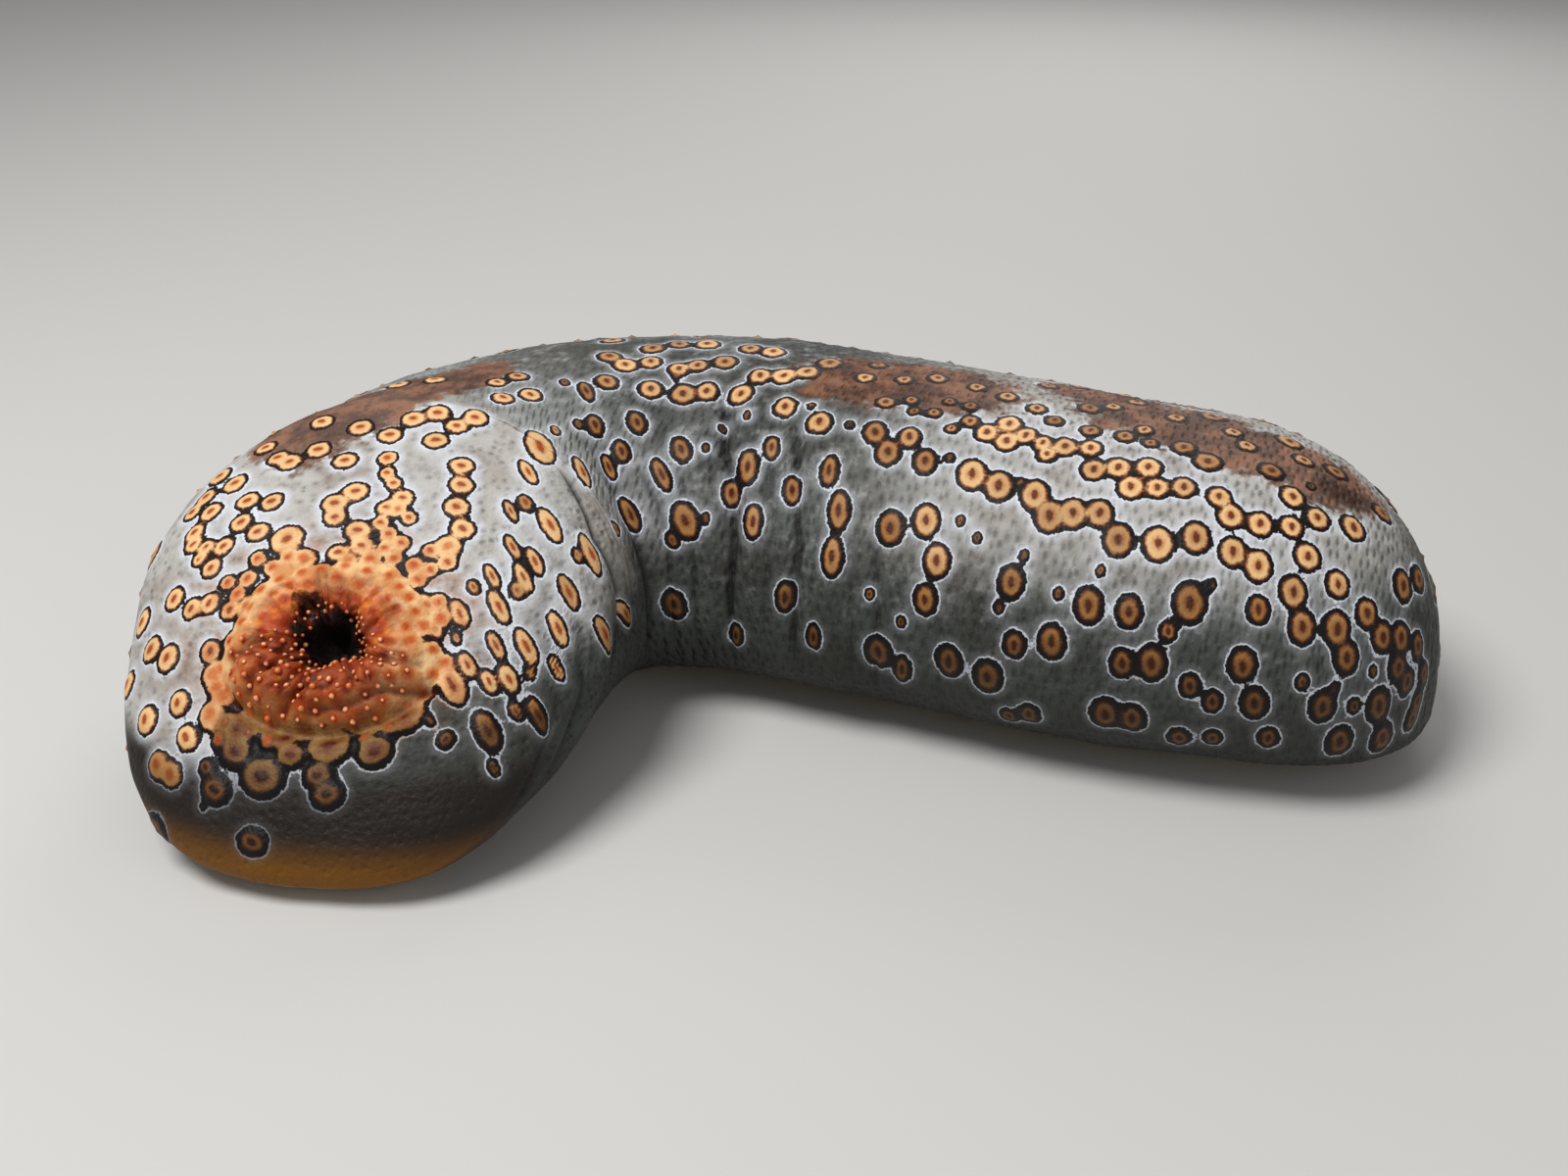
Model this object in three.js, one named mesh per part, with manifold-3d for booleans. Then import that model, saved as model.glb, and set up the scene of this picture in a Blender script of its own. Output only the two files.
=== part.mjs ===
// Leopard sea cucumber, life size, lying bent on its sole.
// Millimetres, +Z up. +X points to the animal's right-hand limb (its head), +Y away from the viewer.
// The origin is under the middle of the animal, on the floor.

import * as THREE from 'three';
import { mergeVertices } from 'three/addons/utils/BufferGeometryUtils.js';
import Module from 'manifold-3d';

const wasm = await Module();
wasm.setup();

// Body, measured along its middle line from the tail pole (station 0) to the head pole
const BODY_LENGTH = 324;
const BODY_HEIGHT = 76;
const HALF_WIDTH = 54.8;
const TAIL_START = { x: -102.1, y: -57.7 };

// Heading of the middle line in degrees: 0 points along +X, 90 along +Y
const TAIL_HEADING = 80.5;
const HEAD_HEADING = -21.9;
const BEND = { from: 19.6, to: 181.8 };
const HEAD_TURN = { angle: 26.7, from: 227 };

// How far from each pole the body takes to reach full width, full height above and full depth below
const TAIL_CAP = { wide: 30, above: 45, below: 17.5, power: 2.3 };
const HEAD_CAP = { wide: 47.6, above: 62.4, below: 52.6, power: 2.2 };
const TAIL_SWELL = { width: 0.03, height: 0.014, reach: 162 };
const HEAD_TAPER = { height: -0.087, reach: 162 };

// Height of the widest line of each cross-section, along the body and at the two poles
const WIDEST_HEIGHT = 32;
const TAIL_POLE_HEIGHT = 45.6;
const HEAD_POLE_HEIGHT = 11.6;
const POLE_BLEND = 60;

// The tail leans forward over its own sole and its underside lifts a little
const TAIL_LEAN = { angle: 50, reach: 72 };
const HEAD_LEAN = { angle: -7.2, reach: 72 };
const TAIL_LIFT = { height: 5, reach: 40 };

// Squareness of a cross-section above and below its widest line, 2 is an ellipse
const ROUND_ABOVE = 2.04;
const ROUND_BELOW = 2.68;

// The sole is pressed flat at this height, above the tips of the tube feet
const SOLE_HEIGHT = 1.9;
const SOLE_BLEND = 1.2;

// Coarse folds squeezed up on the inner side of the bend
const FOLD = { depth: 1.3, pitch: 13.5 };

// Fleshy collar round the anus
const COLLAR = { radius: 20, height: 2.6, lobes: 5, lobeDepth: 0.18, dip: 9, depth: 14, sides: 24 };

// Division into lengths, with the gap that neighbours keep
const CUT_STATIONS = [55, 120, 190, 260];
const CUT_HEIGHT = 7.5;
const GAP = 0.3;
const CUT_REACH = 58;

// Tube feet on the sole
const FOOT = { tip: 1.9, waist: 1.2, root: 1.45, waistHeight: 1.1, sunkTo: 5, sides: 5 };
const FOOT_ROWS = { pitch: 15.5, from: 15, to: 312, across: [-31, -15.5, 0, 15.5, 31], jitter: 1.6 };

// Mouth recess under the head and its crown of tentacles
const MOUTH = { fromHead: 31, radius: 13.4, roof: 14 };
const CROWN = { radius: 13, base: 3.4, tentacleRings: [{ count: 8, radius: 5.9 }, { count: 12, radius: 10.4 }] };
const TENTACLE = { stalk: 1.0, shield: 1.95, lip: 1.6, tip: 0.9, sides: 6 };

// Skin mesh
const STATIONS = 70;
const AROUND = 36;

const PAPILLA = { root: 1.15, tip: 0.45, height: 2.4, sunk: 1.6, sides: 5 };
const PAPILLA_RINGS = [
  { count: 7, radius: 9.4 },
  { count: 10, radius: 12.8 },
  { count: 12, radius: 16.4 },
];

// Colours and surface of the materials
const SKIN = { color: 0xb9b0ac, roughness: 0.5, metalness: 0 };
const SOLE_SKIN = { color: 0xc2b49c, roughness: 0.55, metalness: 0 };
const COLLAR_SKIN = { color: 0xb8632e, roughness: 0.45, metalness: 0 };
const TENTACLE_SKIN = { color: 0x4a3a33, roughness: 0.5, metalness: 0 };

const radians = THREE.MathUtils.degToRad;

function smooth(t) {
  return THREE.MathUtils.smoothstep(t, 0, 1);
}

// Same random numbers each time, between -1 and 1
let randomState = 7;
function jitter() {
  randomState = (randomState * 16807) % 2147483647;
  return (2 * randomState) / 2147483647 - 1;
}

// Rounded end of the body: 0 at the pole, 1 from the distance reach on
function cap(distance, reach, power) {
  const rest = 1 - THREE.MathUtils.clamp(distance / reach, 0, 1);
  return (1 - rest ** power) ** (1 / power);
}

function signedPower(value, power) {
  return Math.sign(value) * Math.abs(value) ** power;
}

// Middle line

function headingAt(station) {
  const bend = smooth((station - BEND.from) / (BEND.to - BEND.from));
  const turn = smooth((station - HEAD_TURN.from) / (BODY_LENGTH - HEAD_TURN.from));
  return radians(TAIL_HEADING + (HEAD_HEADING - TAIL_HEADING) * bend + HEAD_TURN.angle * turn);
}

function traceMiddleLine() {
  const points = [new THREE.Vector2(TAIL_START.x, TAIL_START.y)];
  for (let station = 0; station < BODY_LENGTH; station += 1) {
    const heading = headingAt(station + 0.5);
    const last = points[points.length - 1];
    points.push(new THREE.Vector2(last.x + Math.cos(heading), last.y + Math.sin(heading)));
  }
  return points;
}

const MIDDLE_LINE = traceMiddleLine();

function middleAt(station) {
  const clamped = THREE.MathUtils.clamp(station, 0, BODY_LENGTH);
  const before = Math.min(Math.floor(clamped), BODY_LENGTH - 1);
  return MIDDLE_LINE[before].clone().lerp(MIDDLE_LINE[before + 1], clamped - before);
}

// Point of the frame that travels along the body: forward, to the right, up
function placeAt(station, forward, right, up) {
  const middle = middleAt(station);
  const heading = headingAt(station);
  return new THREE.Vector3(
    middle.x + Math.cos(heading) * forward + Math.sin(heading) * right,
    middle.y + Math.sin(heading) * forward - Math.cos(heading) * right,
    up,
  );
}

// Cross-sections

function widestHeightAt(station) {
  const tail = 1 - smooth(station / POLE_BLEND);
  const head = 1 - smooth((BODY_LENGTH - station) / POLE_BLEND);
  return WIDEST_HEIGHT + (TAIL_POLE_HEIGHT - WIDEST_HEIGHT) * tail + (HEAD_POLE_HEIGHT - WIDEST_HEIGHT) * head;
}

function leanAt(station, up) {
  const rise = up - widestHeightAt(station);
  const tail = Math.tan(radians(TAIL_LEAN.angle)) * (1 - smooth(station / TAIL_LEAN.reach));
  const head = Math.tan(radians(HEAD_LEAN.angle)) * (1 - smooth((BODY_LENGTH - station) / HEAD_LEAN.reach));
  return rise * (tail - head);
}

function halfWidthAt(station) {
  const swell = 1 + TAIL_SWELL.width * (1 - smooth(station / TAIL_SWELL.reach));
  const tail = cap(station, TAIL_CAP.wide, TAIL_CAP.power);
  const head = cap(BODY_LENGTH - station, HEAD_CAP.wide, HEAD_CAP.power);
  return HALF_WIDTH * swell * tail * head;
}

function topHeightAt(station) {
  const tail = TAIL_SWELL.height * (1 - smooth(station / TAIL_SWELL.reach));
  const head = HEAD_TAPER.height * smooth((station - HEAD_TAPER.reach) / HEAD_TAPER.reach);
  return BODY_HEIGHT * (1 + tail + head);
}

function sectionHeight(station, sine) {
  const fromHead = BODY_LENGTH - station;
  const widest = widestHeightAt(station);
  if (sine >= 0) {
    const end = cap(station, TAIL_CAP.above, TAIL_CAP.power) * cap(fromHead, HEAD_CAP.above, HEAD_CAP.power);
    return widest + signedPower(sine, 2 / ROUND_ABOVE) * (topHeightAt(station) - widest) * end;
  }
  const lift = TAIL_LIFT.height * (1 - THREE.MathUtils.clamp(station / TAIL_LIFT.reach, 0, 1)) ** 2;
  const end = cap(station, TAIL_CAP.below, TAIL_CAP.power) * cap(fromHead, HEAD_CAP.below, HEAD_CAP.power);
  return widest + signedPower(sine, 2 / ROUND_BELOW) * (widest - lift) * end;
}

// Raises whatever would sink below the flat sole, with a soft edge
function pressFlat(up) {
  const above = up - SOLE_HEIGHT;
  return 0.5 * (up + SOLE_HEIGHT + Math.sqrt(above * above + SOLE_BLEND * SOLE_BLEND));
}

// Depth of the folds: deepest on the inner side, in the middle of the bend
function foldAt(station, cosine) {
  const t = THREE.MathUtils.clamp((station - BEND.from) / (BEND.to - BEND.from), 0, 1);
  const bendShare = 4 * t * (1 - t);
  const wave = 0.5 - 0.5 * Math.cos((2 * Math.PI * station) / FOLD.pitch);
  return FOLD.depth * bendShare * wave * Math.max(cosine, 0) ** 1.5;
}

const ANUS = placeAt(0, 0, 0, TAIL_POLE_HEIGHT);
const ANUS_AXIS = (() => {
  const lean = radians(TAIL_LEAN.angle);
  const heading = headingAt(0);
  return new THREE.Vector3(
    -Math.cos(heading) * Math.cos(lean),
    -Math.sin(heading) * Math.cos(lean),
    Math.sin(lean),
  );
})();
const ANUS_FRAME = new THREE.Quaternion().setFromUnitVectors(new THREE.Vector3(0, 0, 1), ANUS_AXIS);

function distanceFromAnus(point) {
  return point.clone().sub(ANUS).projectOnPlane(ANUS_AXIS).length();
}

// Swelling of the collar at a point of the plain body, with soft lobes round it
function collarRise(point, around) {
  const distance = distanceFromAnus(point);
  const outer = smooth((COLLAR.radius + 1 - distance) / 8);
  const inner = 0.35 + 0.65 * smooth(distance / COLLAR.dip);
  return COLLAR.height * outer * inner * (1 + COLLAR.lobeDepth * Math.cos(COLLAR.lobes * around));
}

function skinPoint(station, around) {
  const cosine = Math.cos(around);
  const sine = Math.sin(around);
  const round = sine >= 0 ? ROUND_ABOVE : ROUND_BELOW;
  const right = signedPower(cosine, 2 / round) * halfWidthAt(station) - foldAt(station, cosine);
  const up = pressFlat(sectionHeight(station, sine));
  const point = placeAt(station, leanAt(station, up), right, up);
  if (station < TAIL_CAP.wide && up > TAIL_POLE_HEIGHT / 2) {
    point.addScaledVector(ANUS_AXIS, collarRise(point, around));
  }
  return point;
}

// Stations at equal steps along the skin, closer together at the two blunt ends
function skinStations(count) {
  const samples = 1500;
  const meridians = [0, 0.5, 1, 1.5].map((quarter) => quarter * Math.PI);
  const travelled = [0];
  const stations = [0];
  let last = meridians.map((around) => skinPoint(0, around));
  for (let i = 1; i <= samples; i += 1) {
    const station = BODY_LENGTH * Math.sin((Math.PI / 2) * (i / samples)) ** 2;
    const next = meridians.map((around) => skinPoint(station, around));
    const step = next.reduce((sum, point, k) => sum + point.distanceTo(last[k]), 0) / meridians.length;
    travelled.push(travelled[i - 1] + step);
    stations.push(station);
    last = next;
  }
  const chosen = [];
  let i = 0;
  for (let k = 0; k <= count; k += 1) {
    const goal = (travelled[samples] * k) / count;
    while (i < samples && travelled[i] < goal) {
      i += 1;
    }
    chosen.push(stations[i]);
  }
  return chosen;
}

// Solids

// Turns a closed geometry into a solid, with shared vertices joined and flat triangles dropped
function solidOf(geometry) {
  geometry.deleteAttribute('normal');
  geometry.deleteAttribute('uv');
  const merged = mergeVertices(geometry, 1e-4);
  const corners = [];
  for (let i = 0; i < merged.index.count; i += 3) {
    const [a, b, c] = [merged.index.getX(i), merged.index.getX(i + 1), merged.index.getX(i + 2)];
    if (a !== b && b !== c && c !== a) {
      corners.push(a, b, c);
    }
  }
  const vertProperties = new Float32Array(merged.attributes.position.array);
  return new wasm.Manifold(new wasm.Mesh({ numProp: 3, vertProperties, triVerts: new Uint32Array(corners) }));
}

// Turned shape from its profile of [radius, height], given from the bottom up
function lathe(profile, sides) {
  const points = profile.map(([radius, height]) => new THREE.Vector2(radius, height));
  return new THREE.LatheGeometry(points, sides).rotateX(Math.PI / 2);
}

function largestBody(solid) {
  return solid.decompose().reduce((best, piece) => (piece.volume() > best.volume() ? piece : best));
}

function join(solid, pieces) {
  const whole = pieces.reduce((sum, piece) => sum.add(piece), solid);
  return largestBody(whole);
}

// The whole body as one closed skin: a sphere's net drawn over it
function bodySolid() {
  const stations = skinStations(STATIONS);
  const geometry = new THREE.SphereGeometry(1, AROUND, STATIONS);
  const { position, uv } = geometry.attributes;
  for (let i = 0; i < position.count; i += 1) {
    const row = Math.round((1 - uv.getY(i)) * STATIONS);
    const atPole = row === 0 || row === STATIONS;
    const around = atPole ? 0 : 2 * Math.PI * (uv.getX(i) % 1);
    const point = skinPoint(stations[row], around);
    position.setXYZ(i, point.x, point.y, point.z);
  }
  return solidOf(geometry);
}

// Thin upright slab across the body at a station
function crossSlab(station) {
  const slab = new THREE.BoxGeometry(GAP, 2 * CUT_REACH, 3 * BODY_HEIGHT);
  slab.rotateZ(headingAt(station));
  const middle = middleAt(station);
  slab.translate(middle.x, middle.y, 0);
  return solidOf(slab);
}

function soleSlab() {
  const slab = new THREE.BoxGeometry(2 * BODY_LENGTH, 2 * BODY_LENGTH, GAP);
  return solidOf(slab.translate(0, 0, CUT_HEIGHT));
}

function nearestStation(point) {
  let best = 0;
  MIDDLE_LINE.forEach((middle, station) => {
    if (middle.distanceTo(point) < MIDDLE_LINE[best].distanceTo(point)) {
      best = station;
    }
  });
  return best;
}

// Cuts the body into lengths and returns them by name
function cutBody(names) {
  let whole = bodySolid();
  for (const station of CUT_STATIONS) {
    whole = whole.subtract(crossSlab(station));
  }
  whole = whole.subtract(soleSlab());
  const lengths = {};
  for (const piece of whole.decompose()) {
    const { min, max } = piece.boundingBox();
    const station = nearestStation(new THREE.Vector2((min[0] + max[0]) / 2, (min[1] + max[1]) / 2));
    const length = CUT_STATIONS.filter((cut) => cut < station).length;
    const side = max[2] < CUT_HEIGHT ? 'sole' : 'body';
    lengths[names[side][length]] = piece;
  }
  return lengths;
}

// Tube feet

// Centre of the sole at a station, or a point to the right of it
function solePoint(station, right) {
  return placeAt(station, leanAt(station, SOLE_HEIGHT), right, 0);
}

function footSolid(point) {
  const foot = lathe([
    [0, 0],
    [FOOT.tip, 0],
    [FOOT.waist, FOOT.waistHeight],
    [FOOT.root, FOOT.sunkTo],
    [0, FOOT.sunkTo],
  ], FOOT.sides);
  return solidOf(foot.translate(point.x, point.y, 0));
}

function clearOfCuts(point) {
  const spare = FOOT.tip + 1;
  return CUT_STATIONS.every((station) => {
    const middle = middleAt(station);
    const heading = headingAt(station);
    const ahead = (point.x - middle.x) * Math.cos(heading) + (point.y - middle.y) * Math.sin(heading);
    const aside = Math.hypot(point.x - middle.x, point.y - middle.y);
    return Math.abs(ahead) > spare || aside > CUT_REACH + spare;
  });
}

const MOUTH_CENTRE = solePoint(BODY_LENGTH - MOUTH.fromHead, 0);

// Rows of feet across the sole, one row each time the sole has advanced by the pitch
function footPoints() {
  const points = [];
  let travelled = 0;
  let last = solePoint(FOOT_ROWS.from, 0);
  for (let station = FOOT_ROWS.from; station <= FOOT_ROWS.to; station += 0.25) {
    const here = solePoint(station, 0);
    travelled -= here.distanceTo(last);
    last = here;
    if (travelled > 0) {
      continue;
    }
    travelled = FOOT_ROWS.pitch;
    const share = Math.min(1, halfWidthAt(station) / HALF_WIDTH);
    for (const right of FOOT_ROWS.across) {
      const point = solePoint(station + FOOT_ROWS.jitter * jitter(), right * share + FOOT_ROWS.jitter * jitter());
      const clearOfMouth = point.distanceTo(MOUTH_CENTRE) > MOUTH.radius + FOOT.tip + 1;
      if (clearOfMouth && clearOfCuts(point)) {
        points.push(point);
      }
    }
  }
  return points;
}

// Anal collar

// Bowl of revolution about the anal axis, grown all round by a margin
function collarBowl(margin) {
  const radius = COLLAR.radius + margin;
  const bowl = lathe([
    [0, -COLLAR.depth - margin],
    [12 + margin, -COLLAR.depth - margin],
    [radius, -6 - margin],
    [radius, radius],
    [0, radius],
  ], COLLAR.sides);
  bowl.applyQuaternion(ANUS_FRAME).translate(ANUS.x, ANUS.y, ANUS.z);
  return solidOf(bowl);
}

function analPit() {
  const pit = lathe([
    [0, -11.5],
    [4.6, -7],
    [6, -2],
    [6.6, 2.5],
    [8.5, 9],
    [0, 9],
  ], 15);
  pit.applyQuaternion(ANUS_FRAME).translate(ANUS.x, ANUS.y, ANUS.z);
  return solidOf(pit);
}

// Station on one meridian where the skin is a given distance from the anal axis
function stationAtDistance(distance, around) {
  let [near, far] = [0, TAIL_CAP.below];
  for (let i = 0; i < 30; i += 1) {
    const station = (near + far) / 2;
    if (distanceFromAnus(skinPoint(station, around)) < distance) {
      near = station;
    } else {
      far = station;
    }
  }
  return near;
}

function papillaSolids() {
  const papillae = [];
  PAPILLA_RINGS.forEach((ring, ringIndex) => {
    for (let i = 0; i < ring.count; i += 1) {
      const around = (2 * Math.PI * (i + 0.5 * (ringIndex % 2) + 0.2 * jitter())) / ring.count;
      const point = skinPoint(stationAtDistance(ring.radius + 0.5 * jitter(), around), around);
      const height = PAPILLA.height * (1 + 0.2 * jitter());
      const papilla = new THREE.CylinderGeometry(PAPILLA.tip, PAPILLA.root, height + PAPILLA.sunk, PAPILLA.sides);
      papilla.rotateX(Math.PI / 2).translate(0, 0, (height - PAPILLA.sunk) / 2);
      const outward = point.clone().sub(ANUS).projectOnPlane(ANUS_AXIS).normalize();
      const direction = ANUS_AXIS.clone().addScaledVector(outward, 0.3).normalize();
      papilla.applyQuaternion(new THREE.Quaternion().setFromUnitVectors(new THREE.Vector3(0, 0, 1), direction));
      papillae.push(solidOf(papilla.translate(point.x, point.y, point.z)));
    }
  });
  return papillae;
}

// Mouth

function mouthRecess() {
  const recess = lathe([
    [0, -1],
    [MOUTH.radius, -1],
    [MOUTH.radius, MOUTH.roof],
    [0, MOUTH.roof],
  ], 28);
  return solidOf(recess.translate(MOUTH_CENTRE.x, MOUTH_CENTRE.y, 0));
}

function crownSolid() {
  const top = MOUTH.roof - GAP;
  const bottom = top - CROWN.base;
  const base = lathe([
    [0, bottom + 2],
    [4, bottom],
    [CROWN.radius - 0.6, bottom],
    [CROWN.radius, top],
    [0, top],
  ], 28);
  const tentacles = [];
  for (const ring of CROWN.tentacleRings) {
    for (let i = 0; i < ring.count; i += 1) {
      const angle = (2 * Math.PI * i) / ring.count;
      const tentacle = lathe([
        [0, TENTACLE.tip],
        [TENTACLE.lip, TENTACLE.tip + 0.4],
        [TENTACLE.shield, TENTACLE.tip + 1.7],
        [TENTACLE.stalk, TENTACLE.tip + 3.2],
        [TENTACLE.stalk, bottom + 1.5],
        [0, bottom + 1.5],
      ], TENTACLE.sides);
      tentacle.translate(ring.radius * Math.cos(angle), ring.radius * Math.sin(angle), 0);
      tentacles.push(solidOf(tentacle));
    }
  }
  return join(solidOf(base), tentacles).translate([MOUTH_CENTRE.x, MOUTH_CENTRE.y, 0]);
}

// Assembly

const NAMES = {
  body: ['tail_end', 'rear_body', 'middle_body', 'front_body', 'head_end'],
  sole: ['sole_tail', 'sole_rear', 'sole_middle', 'sole_front', 'sole_head'],
};

function plantFeet(nodes) {
  const feet = NAMES.sole.map(() => []);
  for (const point of footPoints()) {
    const station = nearestStation(new THREE.Vector2(point.x, point.y));
    feet[CUT_STATIONS.filter((cut) => cut < station).length].push(footSolid(point));
  }
  NAMES.sole.forEach((name, length) => {
    nodes[name] = join(nodes[name], feet[length]);
  });
}

function buildNodes() {
  const nodes = cutBody(NAMES);
  const tail = nodes.tail_end;
  nodes.tail_end = largestBody(tail.subtract(collarBowl(GAP)));
  nodes.anal_collar = join(tail.intersect(collarBowl(0)), papillaSolids()).subtract(analPit());
  nodes.anal_collar = largestBody(nodes.anal_collar);
  plantFeet(nodes);
  nodes.head_end = largestBody(nodes.head_end.subtract(mouthRecess()));
  nodes.sole_head = largestBody(nodes.sole_head.subtract(mouthRecess()));
  nodes.tentacle_crown = crownSolid();
  return nodes;
}

function materialFor(name) {
  if (name === 'anal_collar') {
    return new THREE.MeshStandardMaterial(COLLAR_SKIN);
  }
  if (name === 'tentacle_crown') {
    return new THREE.MeshStandardMaterial(TENTACLE_SKIN);
  }
  return new THREE.MeshStandardMaterial(name.startsWith('sole_') ? SOLE_SKIN : SKIN);
}

function meshOf(name, solid) {
  const { vertProperties, triVerts } = solid.getMesh();
  const geometry = new THREE.BufferGeometry();
  geometry.setAttribute('position', new THREE.BufferAttribute(vertProperties, 3));
  geometry.setIndex(new THREE.BufferAttribute(triVerts, 1));
  geometry.computeVertexNormals();
  const mesh = new THREE.Mesh(geometry, materialFor(name));
  mesh.name = name;
  return mesh;
}

const seaCucumber = new THREE.Group();
for (const [name, solid] of Object.entries(buildNodes())) {
  seaCucumber.add(meshOf(name, solid));
}

export default seaCucumber;
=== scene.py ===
"""Looks of the leopard sea cucumber: its spotted skin, anal warts, tube feet and mouth tentacles."""

import math
import random

import bmesh
import bpy
import numpy as np
from mathutils import Matrix, Vector, noise
from mathutils.bvhtree import BVHTree


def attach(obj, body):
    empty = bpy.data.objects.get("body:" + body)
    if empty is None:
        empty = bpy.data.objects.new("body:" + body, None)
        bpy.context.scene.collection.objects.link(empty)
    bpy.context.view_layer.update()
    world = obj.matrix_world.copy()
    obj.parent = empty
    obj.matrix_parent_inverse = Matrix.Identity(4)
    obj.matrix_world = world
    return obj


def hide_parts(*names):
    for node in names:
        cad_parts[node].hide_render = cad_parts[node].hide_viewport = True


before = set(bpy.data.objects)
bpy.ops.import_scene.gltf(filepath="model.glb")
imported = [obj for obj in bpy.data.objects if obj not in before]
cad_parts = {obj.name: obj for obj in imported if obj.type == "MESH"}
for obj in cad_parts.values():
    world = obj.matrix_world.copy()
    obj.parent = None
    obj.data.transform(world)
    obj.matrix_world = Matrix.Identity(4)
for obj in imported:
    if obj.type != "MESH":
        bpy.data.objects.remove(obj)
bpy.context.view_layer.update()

MM = 0.001

# The body: lengths in mm, headings and leans in degrees, the same as in the solid model.
BODY_LENGTH = 324.0
BODY_HEIGHT = 76.0
HALF_WIDTH = 54.8
TAIL_START = (-102.1, -57.7)
TAIL_HEADING, HEAD_HEADING = 80.5, -21.9
BEND_FROM, BEND_TO = 19.6, 181.8
HEAD_TURN, HEAD_TURN_FROM = 26.7, 227.0
TAIL_CAP = {"wide": 30.0, "above": 45.0, "below": 17.5, "power": 2.3}
HEAD_CAP = {"wide": 47.6, "above": 62.4, "below": 52.6, "power": 2.2}
SWELL_REACH = 162.0
TAIL_WIDER, TAIL_HIGHER, HEAD_LOWER = 0.03, 0.014, 0.087
WIDEST_HEIGHT, TAIL_POLE_HEIGHT, HEAD_POLE_HEIGHT = 32.0, 45.6, 11.6
POLE_BLEND = 60.0
TAIL_LEAN, HEAD_LEAN, LEAN_REACH = 50.0, -7.2, 72.0
TAIL_LIFT, TAIL_LIFT_REACH = 5.0, 40.0
ROUND_ABOVE, ROUND_BELOW = 2.04, 2.68
SOLE_HEIGHT, SOLE_BLEND = 1.9, 1.2

# The skin's mesh.
AROUND, ALONG = 220, 440
FINER_AT_TAIL = 0.9

# The camera, fitted to the animal's outline in the photo.
PHOTO_WIDE, PHOTO_HIGH = 1600, 1200
LOOK_AT = (-3.75, 51.36, 0.0)
CAMERA_DISTANCE = 480.5
CAMERA_ELEVATION = 28.0
VIEW_ACROSS = 50.0

rng = random.Random(7)


# The body's shape.

def smooth(t):
    t = np.clip(t, 0.0, 1.0)
    return t * t * (3 - 2 * t)


def cap(distance, reach, power):
    """Share of the full size at this distance from an end that closes over this reach."""
    return (1 - (1 - np.clip(distance / reach, 0.0, 1.0)) ** power) ** (1 / power)


def signed_power(x, power):
    return np.sign(x) * np.abs(x) ** power


def heading(s):
    """The way the middle line runs at s, in radians from the x axis."""
    bend = (HEAD_HEADING - TAIL_HEADING) * smooth((s - BEND_FROM) / (BEND_TO - BEND_FROM))
    turn = HEAD_TURN * smooth((s - HEAD_TURN_FROM) / (BODY_LENGTH - HEAD_TURN_FROM))
    return np.radians(TAIL_HEADING + bend + turn)


LINE_S = np.linspace(0, BODY_LENGTH, 1297)
LINE_STEP = LINE_S[1]
LINE_MID = heading(LINE_S[:-1] + LINE_STEP / 2)
LINE_X = TAIL_START[0] + np.concatenate([[0], np.cumsum(np.cos(LINE_MID) * LINE_STEP)])
LINE_Y = TAIL_START[1] + np.concatenate([[0], np.cumsum(np.sin(LINE_MID) * LINE_STEP)])


def widest_height(s):
    tail = (TAIL_POLE_HEIGHT - WIDEST_HEIGHT) * (1 - smooth(s / POLE_BLEND))
    head = (HEAD_POLE_HEIGHT - WIDEST_HEIGHT) * (1 - smooth((BODY_LENGTH - s) / POLE_BLEND))
    return WIDEST_HEIGHT + tail + head


def body(s, phi):
    """Points of the smooth body in mm. s runs from anus to head, phi round it, a right angle at the top."""
    s, phi = np.broadcast_arrays(np.clip(s, 0, BODY_LENGTH), phi)
    zc = widest_height(s)
    left = BODY_LENGTH - s

    def closing(part):
        return cap(s, TAIL_CAP[part], TAIL_CAP["power"]) * cap(left, HEAD_CAP[part], HEAD_CAP["power"])

    half = HALF_WIDTH * (1 + TAIL_WIDER * (1 - smooth(s / SWELL_REACH)))
    half = half * closing("wide")
    rise = TAIL_HIGHER * (1 - smooth(s / SWELL_REACH)) - HEAD_LOWER * smooth(s / SWELL_REACH - 1)
    top = BODY_HEIGHT * (1 + rise)
    sin, cos = np.sin(phi), np.cos(phi)
    upper = sin >= 0
    bend = np.where(upper, 2 / ROUND_ABOVE, 2 / ROUND_BELOW)
    above = (top - zc) * closing("above")
    lift = TAIL_LIFT * (1 - np.clip(s / TAIL_LIFT_REACH, 0, 1)) ** 2
    below = (zc - lift) * closing("below")
    v = zc + signed_power(sin, bend) * np.where(upper, above, below)
    v = 0.5 * (v + SOLE_HEIGHT + np.sqrt((v - SOLE_HEIGHT) ** 2 + SOLE_BLEND ** 2))
    u = signed_power(cos, bend) * half
    lean = math.tan(math.radians(TAIL_LEAN)) * (1 - smooth(s / LEAN_REACH))
    lean = (v - zc) * (lean - math.tan(math.radians(HEAD_LEAN)) * (1 - smooth(left / LEAN_REACH)))
    h = heading(s)
    x = np.interp(s, LINE_S, LINE_X) + np.cos(h) * lean + np.sin(h) * u
    y = np.interp(s, LINE_S, LINE_Y) + np.sin(h) * lean - np.cos(h) * u
    return np.stack([x, y, v], axis=-1)


def meridian_lengths(phis):
    """Mean length of the lines along the body, up to each of a run of stations."""
    s = BODY_LENGTH * np.sin(np.linspace(0, 1, 600) * math.pi / 2) ** 2
    lines = body(s[:, None], np.asarray(phis)[None, :])
    steps = np.linalg.norm(np.diff(lines, axis=0), axis=2).mean(axis=1)
    return s, np.concatenate([[0], np.cumsum(steps)])


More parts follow.
